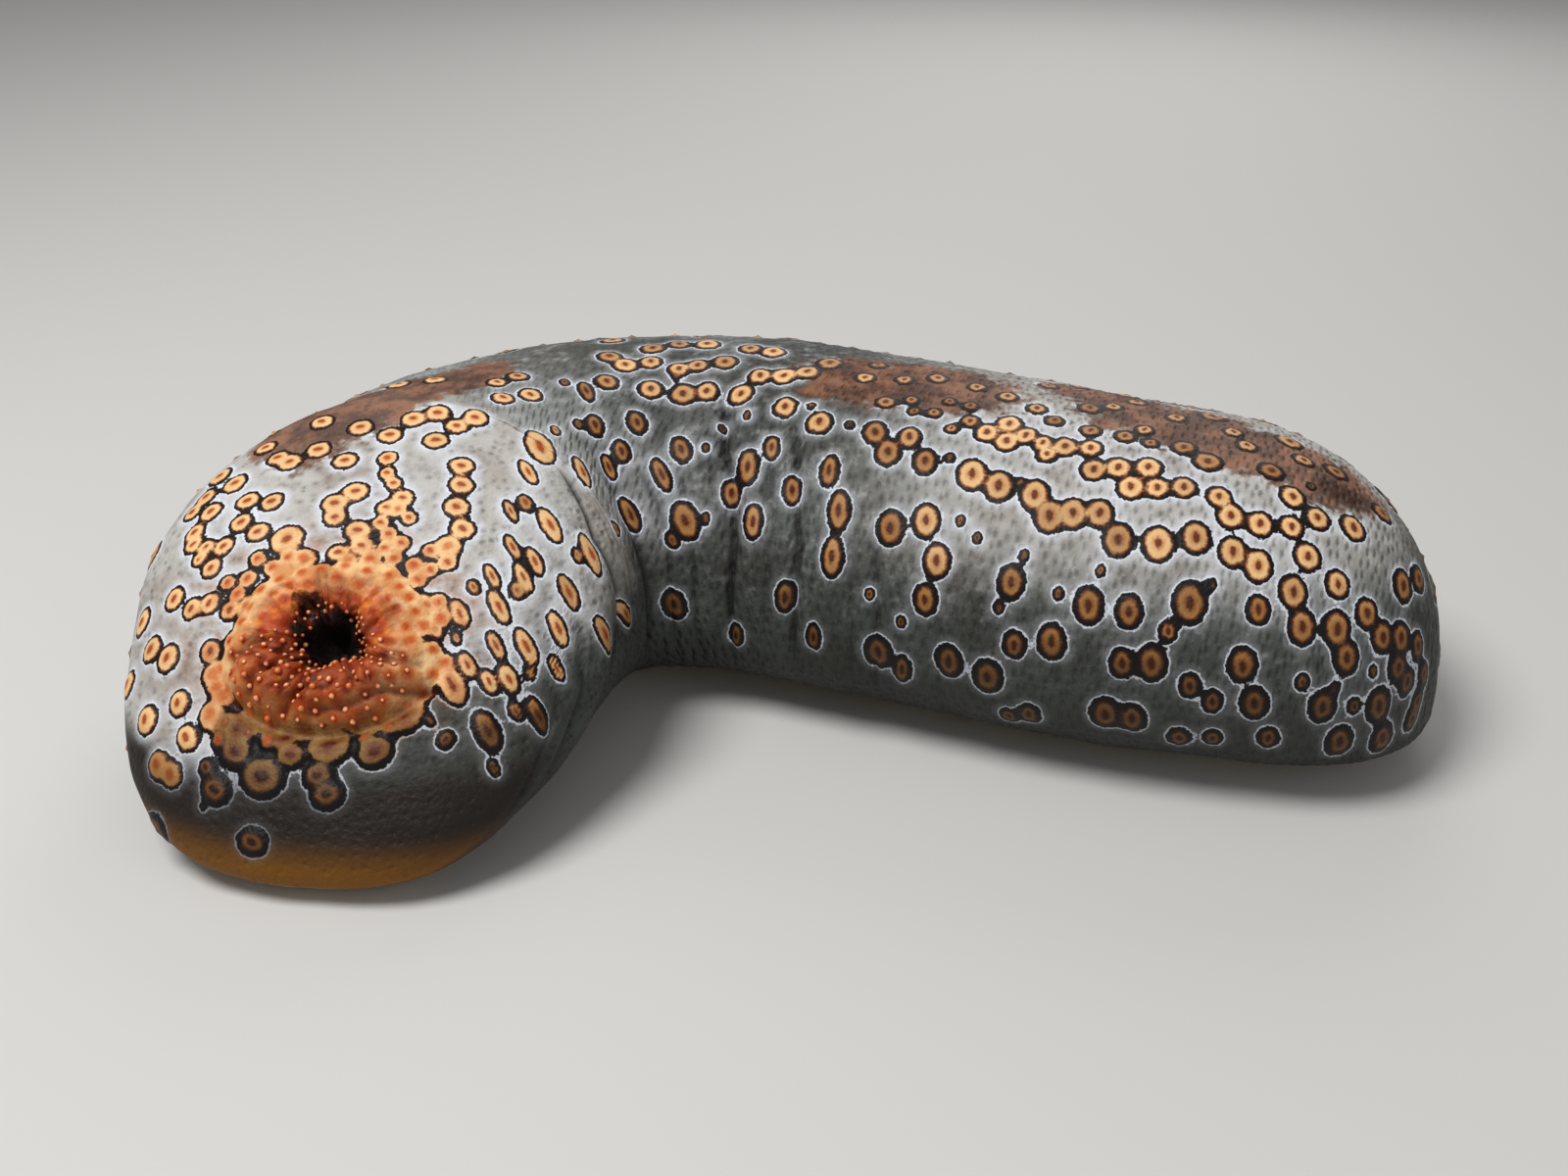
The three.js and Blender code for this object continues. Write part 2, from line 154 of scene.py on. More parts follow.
def even_turns(rows, row, phi):
    """Moves the mesh's columns round each row so that they lie evenly on the skin, wider under the sole."""
    fine = np.linspace(-math.pi / 2, 3 * math.pi / 2, 1441)
    hoops = body(rows[:, None], fine[None, :])
    steps = np.linalg.norm(np.diff(hoops, axis=1), axis=2) * (0.5 + 0.5 * smooth(hoops[:, 1:, 2] / 8))
    run = np.concatenate([np.zeros((len(rows), 1)), np.cumsum(steps, axis=1)], axis=1)
    part = (phi + math.pi / 2) / (2 * math.pi)
    moved = phi.copy()
    for k in range(1, len(rows) - 1):
        here = row == k
        moved[here] = np.interp(part[here] * run[k, -1], run[k], fine)
    return moved


def stations():
    """The mesh's rows from tail to head, closer together near the anus."""
    s, length = meridian_lengths(np.radians([0, 90, 180, 270]))
    weight = 1 + FINER_AT_TAIL * (1 - smooth(length / 70))
    run = np.concatenate([[0], np.cumsum(np.diff(length) * (weight[1:] + weight[:-1]) / 2)])
    return np.interp(np.linspace(0, run[-1], ALONG + 1), run, s)


# The camera, and the way from a pixel of the photo to the skin.

TILT = math.radians(CAMERA_ELEVATION)
FORWARD = Vector((0, math.cos(TILT), -math.sin(TILT)))
UP = Vector((0, math.sin(TILT), math.cos(TILT)))
CAMERA_AT = Vector(LOOK_AT) - FORWARD * CAMERA_DISTANCE
FOCAL = PHOTO_WIDE / 2 / math.tan(math.radians(VIEW_ACROSS / 2))


def ray(px, py):
    """The way from the camera through a pixel of the photo."""
    across = (px - PHOTO_WIDE / 2) / FOCAL
    down = (py - PHOTO_HIGH / 2) / FOCAL
    return (FORWARD + Vector((across, 0, 0)) - UP * down).normalized()


# The skin's mesh.

bm = bmesh.new()
bmesh.ops.create_uvsphere(bm, u_segments=AROUND, v_segments=ALONG, radius=1)
ball = np.array([v.co for v in bm.verts])
ROWS = stations()
row = np.rint(np.arccos(np.clip(ball[:, 2], -1, 1)) / math.pi * ALONG).astype(int)
S = ROWS[row]
PHI = np.arctan2(ball[:, 1], ball[:, 0])
PHI = even_turns(ROWS, row, np.where(PHI < -math.pi / 2, PHI + 2 * math.pi, PHI))
SMOOTH_BODY = body(S, PHI)
ALONG_UNIT = body(S + 0.4, PHI) - body(S - 0.4, PHI)
ALONG_UNIT /= np.maximum(np.linalg.norm(ALONG_UNIT, axis=1, keepdims=True), 1e-9)


def shape(points):
    """Moves the mesh to these points, in mm, and gives its normals."""
    for v, p in zip(bm.verts, points * MM):
        v.co = p
    bm.normal_update()
    return np.array([v.normal for v in bm.verts])


NORMAL = shape(SMOOTH_BODY)
if np.einsum("ij,ij->i", NORMAL, SMOOTH_BODY - SMOOTH_BODY.mean(axis=0)).mean() < 0:
    bmesh.ops.reverse_faces(bm, faces=bm.faces)
    NORMAL = -NORMAL
ROUND_UNIT = np.cross(NORMAL, ALONG_UNIT)
TREE = BVHTree.FromBMesh(bm)
bm.faces.ensure_lookup_table()


def vertex_near(face, point):
    return min(bm.faces[face].verts, key=lambda v: (v.co - point).length_squared).index


def on_skin(px, py):
    """The place of a photo pixel on the skin, or on its edge if beside it: point in mm and nearest vertex."""
    start, way = CAMERA_AT * MM, ray(px, py)
    point, _, face, _ = TREE.ray_cast(start, way)
    if point is None:
        near = start + way * CAMERA_DISTANCE * MM
        for _ in range(6):
            point, _, face, _ = TREE.find_nearest(near)
            near = start + way * way.dot(point - start)
    return np.array(point) / MM, vertex_near(face, point)


# The ringed spots. Each group has its spots' short and long diameter in mm, the lean of the long side from
# upright in the photo in degrees (None: it runs round the body), the tone of the middle (0 pale, 1 dark), and
# the spots' pixels in the photo. A third number is the size of a spot beside its group's.

UPPER_CHAIN = (7.0, 8.0, None, 0.1, [
    (1007, 442), (1030, 433), (1027, 451), (1047, 445), (1064, 453), (1068, 464), (1087, 456),
    (1113, 457), (1116, 479), (1141, 477), (1154, 497), (1172, 477), (1181, 498), (1208, 497),
    (1244, 507), (1256, 526), (1286, 534), (1318, 537), (1334, 568), (1344, 529), (1319, 507),
    (1380, 539), (1365, 596), (1395, 626), (1411, 650), (1430, 651), (1426, 681), (1435, 696),
    (1446, 715), (1440, 733)])
LOWER_CHAIN = (7.6, 9.4, 0, 0.2, [
    (992, 484), (1019, 496), (1056, 505), (1071, 527), (1095, 524), (1122, 524), (1141, 551), (1182, 555),
    (1220, 549), (1258, 563), (1284, 577), (1320, 604), (1329, 640), (1364, 642), (1374, 671)])
CLUSTERS = (6.8, 8.7, 0, 0.3, [
    (893, 442), (906, 462), (928, 447), (944, 471), (945, 531), (956, 572, 1.1), (944, 612)])
SIDE = (7.5, 9.5, 0, 0.6, [
    (908, 538), (1032, 594), (1111, 618), (1152, 624, 0.85), (1214, 615, 1.1), (1192, 644, 0.6),
    (1175, 677, 0.95), (1145, 677, 0.8), (1073, 655), (1035, 658, 0.85), (1284, 622, 0.85), (1268, 679),
    (1214, 700, 0.75), (1237, 716, 0.75), (1280, 718), (1349, 721), (1406, 720), (1409, 752), (1366, 756),
    (1294, 753, 0.7), (1203, 752, 0.8), (1237, 753, 0.7), (1155, 733), (1128, 728), (1050, 728, 0.9),
    (1030, 730, 0.7), (1008, 690, 1.05), (968, 675), (895, 668), (1431, 598), (1446, 591, 0.9),
    (1447, 659, 0.8), (1453, 688, 0.8), (1467, 708, 0.7)])
SMALL_RINGS = (2.8, 3.6, 0, 0.8, [
    (867, 434), (969, 467), (997, 549), (980, 531), (1041, 492), (1045, 567), (1080, 606), (1019, 620),
    (919, 635), (886, 607), (1123, 583), (1236, 596), (1338, 496), (1401, 685), (1329, 696, 1.4),
    (1362, 703), (1381, 720, 1.3)])
BACK_OF_HEAD_LIMB = (7.2, 7.4, None, 0.3, [
    (1410, 524), (1363, 481), (1315, 452), (1297, 481), (1258, 443, 0.8), (1272, 456, 0.9), (1237, 427),
    (1208, 457), (1232, 471), (1174, 452, 0.7), (1168, 439, 0.8), (1113, 439, 0.8), (1112, 417, 0.9),
    (1076, 430, 0.8), (1058, 418, 0.8), (1028, 406, 0.9), (904, 410, 0.9), (930, 408, 0.7),
    (933, 419, 0.6), (953, 421, 0.7), (969, 410, 0.6), (990, 415, 0.7), (990, 430, 0.8), (971, 438, 0.6)])
IN_THE_SADDLES = (6.0, 6.2, None, 0.25, [
    (883, 385), (896, 373), (923, 388), (957, 387), (997, 396), (1070, 394), (1102, 396), (1136, 416),
    (1160, 412), (1148, 445), (1330, 470), (1200, 428)])
ARCH = (7.2, 8.2, None, 0.2, [
    (662, 342), (625, 347), (693, 351), (666, 355), (722, 352), (622, 364), (638, 372), (664, 369),
    (693, 377), (712, 373), (740, 370), (766, 357), (789, 361), (847, 371), (619, 390), (664, 397),
    (697, 401), (721, 398), (756, 401), (776, 385), (800, 385), (824, 381), (801, 415), (836, 431),
    (828, 414, 0.4)])
LEFT_OF_BEND = (4.6, 10.2, -24, 0.5, [
    (598, 400, 0.9), (624, 472, 0.85), (675, 483, 1.05), (594, 481), (646, 523), (603, 565, 1.1),
    (581, 603, 1.05), (616, 648, 1.1), (570, 641), (640, 626)])
ROUND_BY_BEND = (6.2, 9.0, -20, 0.5, [
    (607, 433, 0.9), (650, 430, 0.9), (695, 458), (635, 458, 0.85), (699, 531, 1.2), (688, 618),
    (567, 439, 0.5)])
RIGHT_OF_BEND = (5.8, 9.8, 3, 0.5, [
    (763, 476, 1.05), (787, 455, 0.85), (745, 501, 0.9), (807, 498, 0.9), (846, 480, 0.95),
    (856, 521, 1.1), (849, 568, 1.1), (768, 532, 1.0), (890, 666, 1.1), (920, 684, 0.9), (800, 610, 0.9),
    (750, 650, 0.8), (830, 650, 0.8)])
BEND_RINGS = (2.4, 3.6, 0, 0.8, [
    (868, 434), (762, 423), (736, 431), (720, 456), (720, 529), (690, 385)])
TAIL_FLANK = (4.5, 9.8, -28, 0.35, [
    (539, 482), (521, 521, 0.8), (561, 536, 1.15), (523, 557, 0.85), (546, 571, 0.85), (534, 589, 0.95),
    (502, 588, 0.8), (509, 620, 1.05), (506, 659, 0.85), (537, 660, 0.95), (569, 681, 0.8),
    (549, 730, 1.05)])
ROUND_ON_FLANK = (6.0, 10.0, -26, 0.35, [
    (551, 456, 1.3), (461, 699, 1.1), (497, 746, 1.1), (499, 696, 0.75), (519, 693, 0.85),
    (469, 626, 0.85), (444, 642, 0.65), (436, 617, 0.6), (477, 679, 0.7), (526, 726, 0.55),
    (504, 784, 0.5)])
RINGS_ON_FLANK = (3.2, 4.4, -25, 0.7, [
    (483, 599), (466, 651, 0.85), (541, 687), (589, 567), (629, 539), (576, 390), (590, 432, 0.9),
    (686, 551, 1.1), (536, 513, 1.3), (528, 603, 1.2), (439, 736, 0.8)])
TAIL_BACK = (6.2, 6.8, None, 0.15, [
    (271, 457), (284, 468), (296, 472), (325, 459), (329, 431), (368, 436), (398, 444), (422, 428),
    (447, 422), (466, 436), (485, 427), (445, 451), (471, 477), (471, 496), (466, 518), (472, 540),
    (459, 557), (407, 393), (444, 388), (507, 390), (528, 384), (541, 403), (513, 407), (352, 470),
    (363, 502), (342, 514), (342, 528), (365, 541), (253, 512), (278, 513), (247, 534), (264, 544),
    (293, 551, 1.25), (240, 494), (225, 487), (211, 508), (216, 523), (197, 523)])
NEAR_COLLAR = (5.8, 6.4, None, 0.0, [
    (411, 509), (395, 518), (345, 564), (355, 573), (369, 557), (311, 573), (199, 544), (198, 556),
    (211, 559), (229, 558), (204, 571), (216, 580), (253, 619), (235, 622), (214, 616), (196, 621),
    (178, 611)])
TAIL_LEFT = (6.2, 7.2, None, 0.2, [
    (155, 663), (172, 672), (214, 664, 0.85), (216, 689, 0.85), (132, 699), (184, 718), (151, 735),
    (121, 753), (123, 664), (145, 635), (162, 781), (175, 790), (137, 812), (207, 824, 0.3), (192, 753)])
BELOW_COLLAR = (8.4, 9.6, None, 0.6, [
    (229, 706, 0.7), (218, 732, 0.85), (245, 743, 1.05), (242, 768), (290, 753, 0.9), (298, 771, 0.9),
    (337, 761, 1.1), (371, 733, 0.9), (414, 729, 1.1), (383, 768), (269, 793, 1.1), (326, 792, 0.9),
    (335, 811, 0.9), (221, 806, 0.9), (213, 784, 0.6), (312, 742, 0.85), (455, 755, 0.5),
    (258, 859, 0.85)])
GROUPS = (UPPER_CHAIN, LOWER_CHAIN, CLUSTERS, SIDE, SMALL_RINGS, BACK_OF_HEAD_LIMB, IN_THE_SADDLES, ARCH,
          LEFT_OF_BEND, ROUND_BY_BEND, RIGHT_OF_BEND, BEND_RINGS, TAIL_FLANK, ROUND_ON_FLANK, RINGS_ON_FLANK,
          TAIL_BACK, NEAR_COLLAR, TAIL_LEFT, BELOW_COLLAR)

# The anus: its middle, the way it faces, and the ways to its right and upward along the skin.
ANUS = np.array([TAIL_START[0], TAIL_START[1], TAIL_POLE_HEIGHT])
TAIL_TURN, TAIL_UP = math.radians(TAIL_HEADING), math.radians(TAIL_LEAN)
TAIL_FORWARD = np.array([math.cos(TAIL_TURN), math.sin(TAIL_TURN), 0.0])
ANUS_AXIS = np.array([0, 0, math.sin(TAIL_UP)]) - TAIL_FORWARD * math.cos(TAIL_UP)
TO_RIGHT = np.array([math.sin(TAIL_TURN), -math.cos(TAIL_TURN), 0.0])
TO_TOP = np.cross(ANUS_AXIS, TO_RIGHT)
TO_TOP = TO_TOP if TO_TOP[2] > 0 else -TO_TOP

from_anus = SMOOTH_BODY - ANUS
down_axis = from_anus @ ANUS_AXIS
from_axis = np.linalg.norm(from_anus - down_axis[:, None] * ANUS_AXIS, axis=1)
to_right, to_top = from_anus @ TO_RIGHT, from_anus @ TO_TOP
collar_turn = np.arctan2(to_top, to_right)
at_tail = (S < 46) & (down_axis > -26)
below_anus = smooth((-np.sin(collar_turn) + 0.25) / 0.9)
collar_away = np.where(at_tail, np.hypot(to_right / 1.2, to_top), 60.0)

spots = []      # each: centre, the units of its two ways on the skin, its half size along each, tone


def upright(vertex, lean):
    """The two unit directions on the skin of a spot whose long side leans by this much in the photo."""
    away = np.array(CAMERA_AT) - SMOOTH_BODY[vertex]
    turn = math.radians(lean)
    up = np.array(UP) * math.cos(turn) + np.array([math.sin(turn), 0, 0])
    long_way = np.cross(NORMAL[vertex], np.cross(away, up))
    long_way /= np.linalg.norm(long_way)
    return np.cross(long_way, NORMAL[vertex]), long_way


def add_spot(place, along, across, tone, lean=None):
    point, vertex = place
    ways = (ALONG_UNIT[vertex], ROUND_UNIT[vertex]) if lean is None else upright(vertex, lean)
    spots.append((point, *ways, along / 2, across / 2, tone))


for along, across, lean, tone, pixels in GROUPS:
    for px, py, *size in pixels:
        place = on_skin(px, py)
        size = (size[0] if size else 1.0) * rng.uniform(0.93, 1.07)
        if any(np.linalg.norm(place[0] - spot[0]) < 0.45 * along * size for spot in spots):
            continue
        add_spot(place, along * size, across * size, tone + rng.uniform(-0.15, 0.15), lean)

# Small cells run together on the collar and out along its arms: half width in mm, then pixels along the arm.
PIT_EDGE = 8.0
CELL_SPACING = 3.5
ARMS = [
    (5.0, (398, 606), (399, 566), (404, 531)), (4.4, (410, 600), (430, 580), (447, 566)),
    (4.0, (300, 612), (264, 592), (240, 598)), (3.2, (264, 592), (262, 573)), (3.0, (400, 492), (401, 468)),
    (4.4, (262, 690), (236, 708), (228, 742)), (4.2, (268, 716), (276, 752)), (4.0, (404, 690), (428, 700))]


def away_from(line):
    """Distance in mm of each vertex from a line of photo pixels laid on the skin."""
    away = np.full(len(S), 99.0)
    for (x0, y0), (x1, y1) in zip(line, line[1:]):
        for part in np.linspace(0, 1, 15):
            point = on_skin(x0 + (x1 - x0) * part, y0 + (y1 - y0) * part)[0]
            away = np.minimum(away, np.linalg.norm(SMOOTH_BODY - point, axis=1))
    return away


arm_away = np.min([away_from(line) - half_width for half_width, *line in ARMS], axis=0)

collar_rim = 20 + 2.0 * below_anus
for i in np.flatnonzero(at_tail):
    collar_rim[i] += 6 * noise.noise(Vector(SMOOTH_BODY[i]) / 10)

order = list(range(len(S)))
rng.shuffle(order)
cells = []
for i in order:
    p = SMOOTH_BODY[i]
    if not (PIT_EDGE < collar_away[i] < collar_rim[i] or arm_away[i] < -1.4):
        continue
    if any(np.linalg.norm(p - SMOOTH_BODY[c]) < CELL_SPACING for c in cells):
        continue
    cells.append(i)
    size = rng.uniform(4.6, 5.6)
    add_spot((p, i), size, size, -1.0)

# The far side, hidden in the photo, has the same chains and single spots scattered between them, in mm.
CHAIN_SPOT = (7.4, 8.4)
LOWEST_SPOT = 9.0
SMALL_SPOTS, SMALL_SIZE, SMALL_SPACING = 0.25, (2.8, 4.2), 8.5
LARGE_SIZE, LARGE_SPACING = (7.0, 9.4), (10.5, 14.5)
to_camera = np.array(CAMERA_AT) - SMOOTH_BODY
facing = np.einsum("ij,ij->i", NORMAL, to_camera) / np.linalg.norm(to_camera, axis=1)
for px, py in UPPER_CHAIN[4] + LOWER_CHAIN[4]:
    vertex = on_skin(px, py)[1]
    twin = body(S[vertex], math.pi - PHI[vertex])
    point, _, face, _ = TREE.find_nearest(Vector(twin * MM))
    near = vertex_near(face, point)
    if facing[near] < 0.05:
        add_spot((twin, near), *(size * rng.uniform(0.9, 1.1) for size in CHAIN_SPOT), 0.2)

centres = np.array([spot[0] for spot in spots])
for i in order:
    p = SMOOTH_BODY[i]
    if p[2] < LOWEST_SPOT or facing[i] > 0.04 or NORMAL[i][2] < -0.35:
        continue
    small = rng.random() < SMALL_SPOTS
    spacing = SMALL_SPACING if small else rng.uniform(*LARGE_SPACING)
    if np.linalg.norm(centres - p, axis=1).min() < spacing:
        continue
    centres = np.vstack([centres, p])
    size = rng.uniform(*(SMALL_SIZE if small else LARGE_SIZE))
    add_spot((p, i), size, size * rng.uniform(1.0, 1.2), rng.uniform(0.1, 0.6))

CENTRE, ALONG_AXIS, ROUND_AXIS = (np.array([spot[k] for spot in spots]) for k in range(3))
HALF_ALONG, HALF_ROUND, TONE = (np.array([spot[k] for spot in spots]) for k in range(3, 6))

# Spots that would lie too far over each other are made smaller.
OVERLAP = 1.6
SMALLEST_PART = 0.78
between = CENTRE[None, :, :] - CENTRE[:, None, :]
apart = np.linalg.norm(between, axis=2) + 1e-9
along_part = np.einsum("ijk,ik->ij", between, ALONG_AXIS) / apart
round_part = np.sqrt(np.maximum(1 - along_part ** 2, 0))
reach = 1 / np.hypot(along_part / HALF_ALONG[:, None], round_part / HALF_ROUND[:, None])
tightness = OVERLAP * apart / (reach + reach.T)
np.fill_diagonal(tightness, 1)
tightness[:, TONE < -0.5] = 1
fit = np.where(TONE < -0.5, 1, np.clip(tightness.min(axis=1), SMALLEST_PART, 1))
HALF_ALONG, HALF_ROUND = HALF_ALONG * fit, HALF_ROUND * fit
NARROW = np.minimum(HALF_ALONG, HALF_ROUND)

# For each vertex: distance to the outline of the spots in mm, share of the way from the nearest spot's centre
# to its outline, lead of that spot over the next, half width of the spots near by, and in "eye" the place in
# the spot, 1 on its outline, with the tone.
MERGE = 0.55        # how far neighbouring spots run together, mm
SHARE = 1.2         # how far the size and tone of neighbouring spots pass into each other, mm
AT_A_TIME = 3000
edge, rho, gap, reach_here = (np.zeros(len(S)) for _ in range(4))
eye, half = np.zeros((len(S), 3)), np.zeros((len(S), 2))
for first in range(0, len(S), AT_A_TIME):
    rows = slice(first, first + AT_A_TIME)
    d = SMOOTH_BODY[rows, None, :] - CENTRE[None, :, :]
    x = np.einsum("vsk,sk->vs", d, ALONG_AXIS)
    rest = np.sqrt(np.maximum((d ** 2).sum(axis=2) - x ** 2, 1e-8))
    k0 = np.sqrt((x / HALF_ALONG) ** 2 + (rest / HALF_ROUND) ** 2) + 1e-4
    k1 = np.sqrt((x / HALF_ALONG ** 2) ** 2 + (rest / HALF_ROUND ** 2) ** 2) + 1e-6
    away = k0 * (k0 - 1) / k1
    least = away.min(axis=1, keepdims=True)
    edge[rows] = least[:, 0] - MERGE * np.log(np.exp(-(away - least) / MERGE).sum(axis=1))
    near = k0.argmin(axis=1)
    pick = np.arange(len(near))
    pair = np.argpartition(k0, 1, axis=1)[:, :2]
    two = np.sort(k0[pick[:, None], pair], axis=1)
    rho[rows] = two[:, 0]
    share = np.exp(-(away - least) / SHARE)
    share /= share.sum(axis=1, keepdims=True)
    reach_here[rows] = share @ NARROW
    half[rows] = np.stack([HALF_ALONG[near], HALF_ROUND[near]], axis=1)
    gap[rows] = (two[:, 1] - two[:, 0]) * NARROW[pair].min(axis=1)
    y = np.einsum("vk,vk->v", d[pick, near], ROUND_AXIS[near])
    eye[rows] = np.stack([x[pick, near] / HALF_ALONG[near], y / HALF_ROUND[near], share @ TONE], axis=1)

edge -= 2.2 * smooth((collar_rim - collar_away) / 5)

# Brown saddles on the back: photo pixel, reach along the body and round it in mm.
SADDLES = [
    (292, 440, 15, 14), (335, 424, 26, 15), (400, 405, 26, 15), (470, 385, 20, 13), (885, 385, 24, 18),
    (955, 392, 30, 18), (1130, 405, 22, 15), (1200, 432, 30, 17), (1290, 460, 26, 17), (1350, 484, 22, 17)]
DARK_BLOB = (1369, 502, 9, 6)


def oval(px, py, along, across):
    """Distance of each vertex from a photo pixel, 1 at these reaches in mm along the body and round it."""
    point, vertex = on_skin(px, py)
    d = SMOOTH_BODY - point
    x = d @ ALONG_UNIT[vertex]
    rest = np.sqrt(np.maximum((d ** 2).sum(axis=1) - x ** 2, 0))
    return np.hypot(x / along, rest / across)


saddle = np.max([1 - smooth((oval(*patch) - 0.3) / 0.95) for patch in SADDLES], axis=0)
blob = 1 - smooth((oval(*DARK_BLOB) - 0.4) / 0.7)

# Relief of the skin.

INNER_S, INNER_RUN = meridian_lengths(np.radians([15.0]))
inner_run = np.interp(S, INNER_S, INNER_RUN)
run_of_bend = np.interp([35, 215], INNER_S, INNER_RUN)


def grain(points, size, seed):
    """Smooth noise of about this grain in mm, between -1 and 1."""
    return np.array([noise.noise(Vector(p) / size + Vector((seed, 2 * seed, -seed))) for p in points])


wander = grain(SMOOTH_BODY, 22, 3.1)
relief = 0.55 * grain(SMOOTH_BODY, 26, 1.7) + 0.28 * grain(SMOOTH_BODY, 9, 5.3)
inner_side = smooth((np.cos(PHI) + 0.05) / 0.6) * smooth((SMOOTH_BODY[:, 2] - 1) / 12)

# Creases seen in the photo: depth and width in mm, then pixels from the crease's top to its foot.
CREASES = [
    (1.9, 1.0, (737, 395), (739, 458), (749, 504), (747, 560)),
    (1.7, 0.9, (814, 425), (815, 472), (813, 560)), (0.8, 1.0, (690, 470), (700, 520), (708, 580)),
    (1.2, 1.3, (613, 444), (638, 513), (660, 580)), (1.1, 1.4, (569, 472), (610, 550), (636, 620)),
    (0.6, 0.9, (786, 403), (788, 541)), (0.7, 1.0, (652, 470), (684, 560)),
    (0.6, 0.9, (843, 420), (838, 520)), (0.9, 1.6, (900, 510), (894, 620)),
    (0.7, 1.3, (560, 560), (590, 640), (598, 700)), (0.6, 1.2, (520, 540), (560, 640), (570, 720)),
    (0.5, 1.2, (960, 600), (955, 690)), (0.6, 1.0, (868, 560), (866, 650))]
# the second sum is how dark the creases are painted: painted shade in them
crease, crease_shade_line = np.zeros(len(S)), np.zeros(len(S))
for depth, width, *line in CREASES:
    seen = [on_skin(*pixel)[1] for pixel in line]
    turn = PHI[seen][::-1]
    reach = np.interp(PHI, turn, inner_run[seen][::-1])
    fade = smooth((turn[-1] + 0.12 - PHI) / 0.3) * smooth((PHI - turn[0] + 0.9) / 0.7)
    off = np.abs(inner_run - reach + 0.5 * wander) / width
    crease += depth * fade * (np.exp(-(off / 0.8) ** 1.3) + 0.7 * np.exp(-(off / 3.5) ** 2))
    crease_shade_line += depth * fade * (np.exp(-(off / 0.7) ** 1.5) + 0.15 * np.exp(-(off / 3.0) ** 2))
at = run_of_bend[0]
while at < run_of_bend[1]:
    off = np.abs(inner_run - at - wander * 2) / 1.1
    crease += rng.uniform(0.15, 0.5) * inner_side * np.exp(-off ** 1.5)
    at += rng.uniform(4.5, 8.0)
relief -= crease
relief += 0.10 * np.sin(inner_run * 2 * math.pi / 3.1 + 6 * wander) * smooth((S - 10) / 40)
pad = smooth(-edge / 1.6)
relief += 0.3 * pad * (collar_away > 14)
relief += 0.25 * np.exp(-(rho / 0.22) ** 2) * (gap > 2.5)

# The collar: swollen lobes, each with its photo pixel, reach and height in mm, parted by folds.
LOBES = [
    (276, 682, 6.5, 2.4), (250, 704, 5.0, 2.0), (292, 706, 5.0, 1.6), (349, 706, 6.0, 2.4),
    (322, 714, 4.5, 1.6), (398, 670, 6.0, 2.2), (426, 690, 5.0, 2.0), (385, 704, 5.5, 2.2),
    (384, 634, 5.0, 0.9), (268, 640, 6.0, 1.0), (330, 604, 6.0, 0.7)]
# Deep folds of the collar: depth and width in mm, then photo pixels along the fold.
COLLAR_FOLDS = [
    (2.6, 0.9, (322, 668), (314, 690), (309, 710), (294, 728)),
    (2.2, 1.0, (302, 652), (268, 660), (243, 677)), (2.2, 0.9, (366, 668), (395, 680), (430, 682)),
    (2.6, 1.0, (322, 730), (358, 724), (398, 708), (438, 706)),
    (1.6, 0.8, (357, 676), (366, 694), (362, 712)), (1.8, 0.8, (296, 676), (272, 694), (262, 712))]
collar = smooth((21 - collar_away) / 8)
lip = below_anus * np.exp(-((collar_away - 16.0) / 3.8) ** 2)
under_lip = below_anus * np.exp(-((collar_away - 21.8) / 1.7) ** 2)
relief += 1.9 * collar * (0.35 + 0.65 * smooth(from_axis / 9)) + 1.6 * lip - 2.2 * under_lip
for px, py, reach, height in LOBES:
    lobe = np.linalg.norm(SMOOTH_BODY - on_skin(px, py)[0], axis=1) / reach
    relief += height * np.exp(-lobe ** 2)
relief += collar * (1.3 * grain(SMOOTH_BODY, 5.0, 8.8) + 0.9 * grain(SMOOTH_BODY, 2.2, 2.9))
ray_noise = np.array([noise.noise(Vector((2.6 * math.cos(a), 2.6 * math.sin(a), r / 16))) for a, r in
                      zip(collar_turn[at_tail], from_axis[at_tail])])
ray_fold = np.zeros(len(S))
ray_fold[at_tail] = np.exp(-(ray_noise / 0.06) ** 2)
ray_fold *= collar * smooth((from_axis - 3) / 4) * smooth((19 - collar_away) / 5)
relief -= 1.2 * ray_fold
for depth, width, *line in COLLAR_FOLDS:
    off = away_from(line) / width
    relief -= depth * (0.6 * np.exp(-off ** 1.5) + 0.4 * np.exp(-(off / 2.5) ** 2))
    # the folds also mark where the material paints shade in the collar's folds
    ray_fold = np.maximum(ray_fold, np.exp(-(off / 1.1) ** 2))
relief += 0.7 * pad * below_anus * smooth((collar_away - 21) / 3) * smooth((46 - collar_away) / 10)

finished = SMOOTH_BODY + NORMAL * relief[:, None]

# The anal pit: the skin near the axis is drawn in to a funnel.
PIT_RIM, PIT_DEPTH = 10.5, 12.5
q = from_axis / PIT_RIM * (1 - 0.08 * np.cos(2 * collar_turn + 0.4) - 0.13 * np.cos(5 * collar_turn + 0.9))
q *= 1 - 0.36 * grain(SMOOTH_BODY, 4.2, 4.4)
drawn = at_tail & (q < 1) & (down_axis > -8)
across_pit = from_anus - down_axis[:, None] * ANUS_AXIS
spread = np.interp(q, [0, 0.2, 0.5, 0.75, 1], [1.0, 1.3, 1.15, 1.03, 1.0])
sink = np.interp(q, [0, 0.2, 0.4, 0.6, 0.8, 1], [PIT_DEPTH, 9.0, 5.0, 2.4, 0.8, 0.0])
finished[drawn] += (across_pit * (spread - 1)[:, None] - ANUS_AXIS * sink[:, None])[drawn]

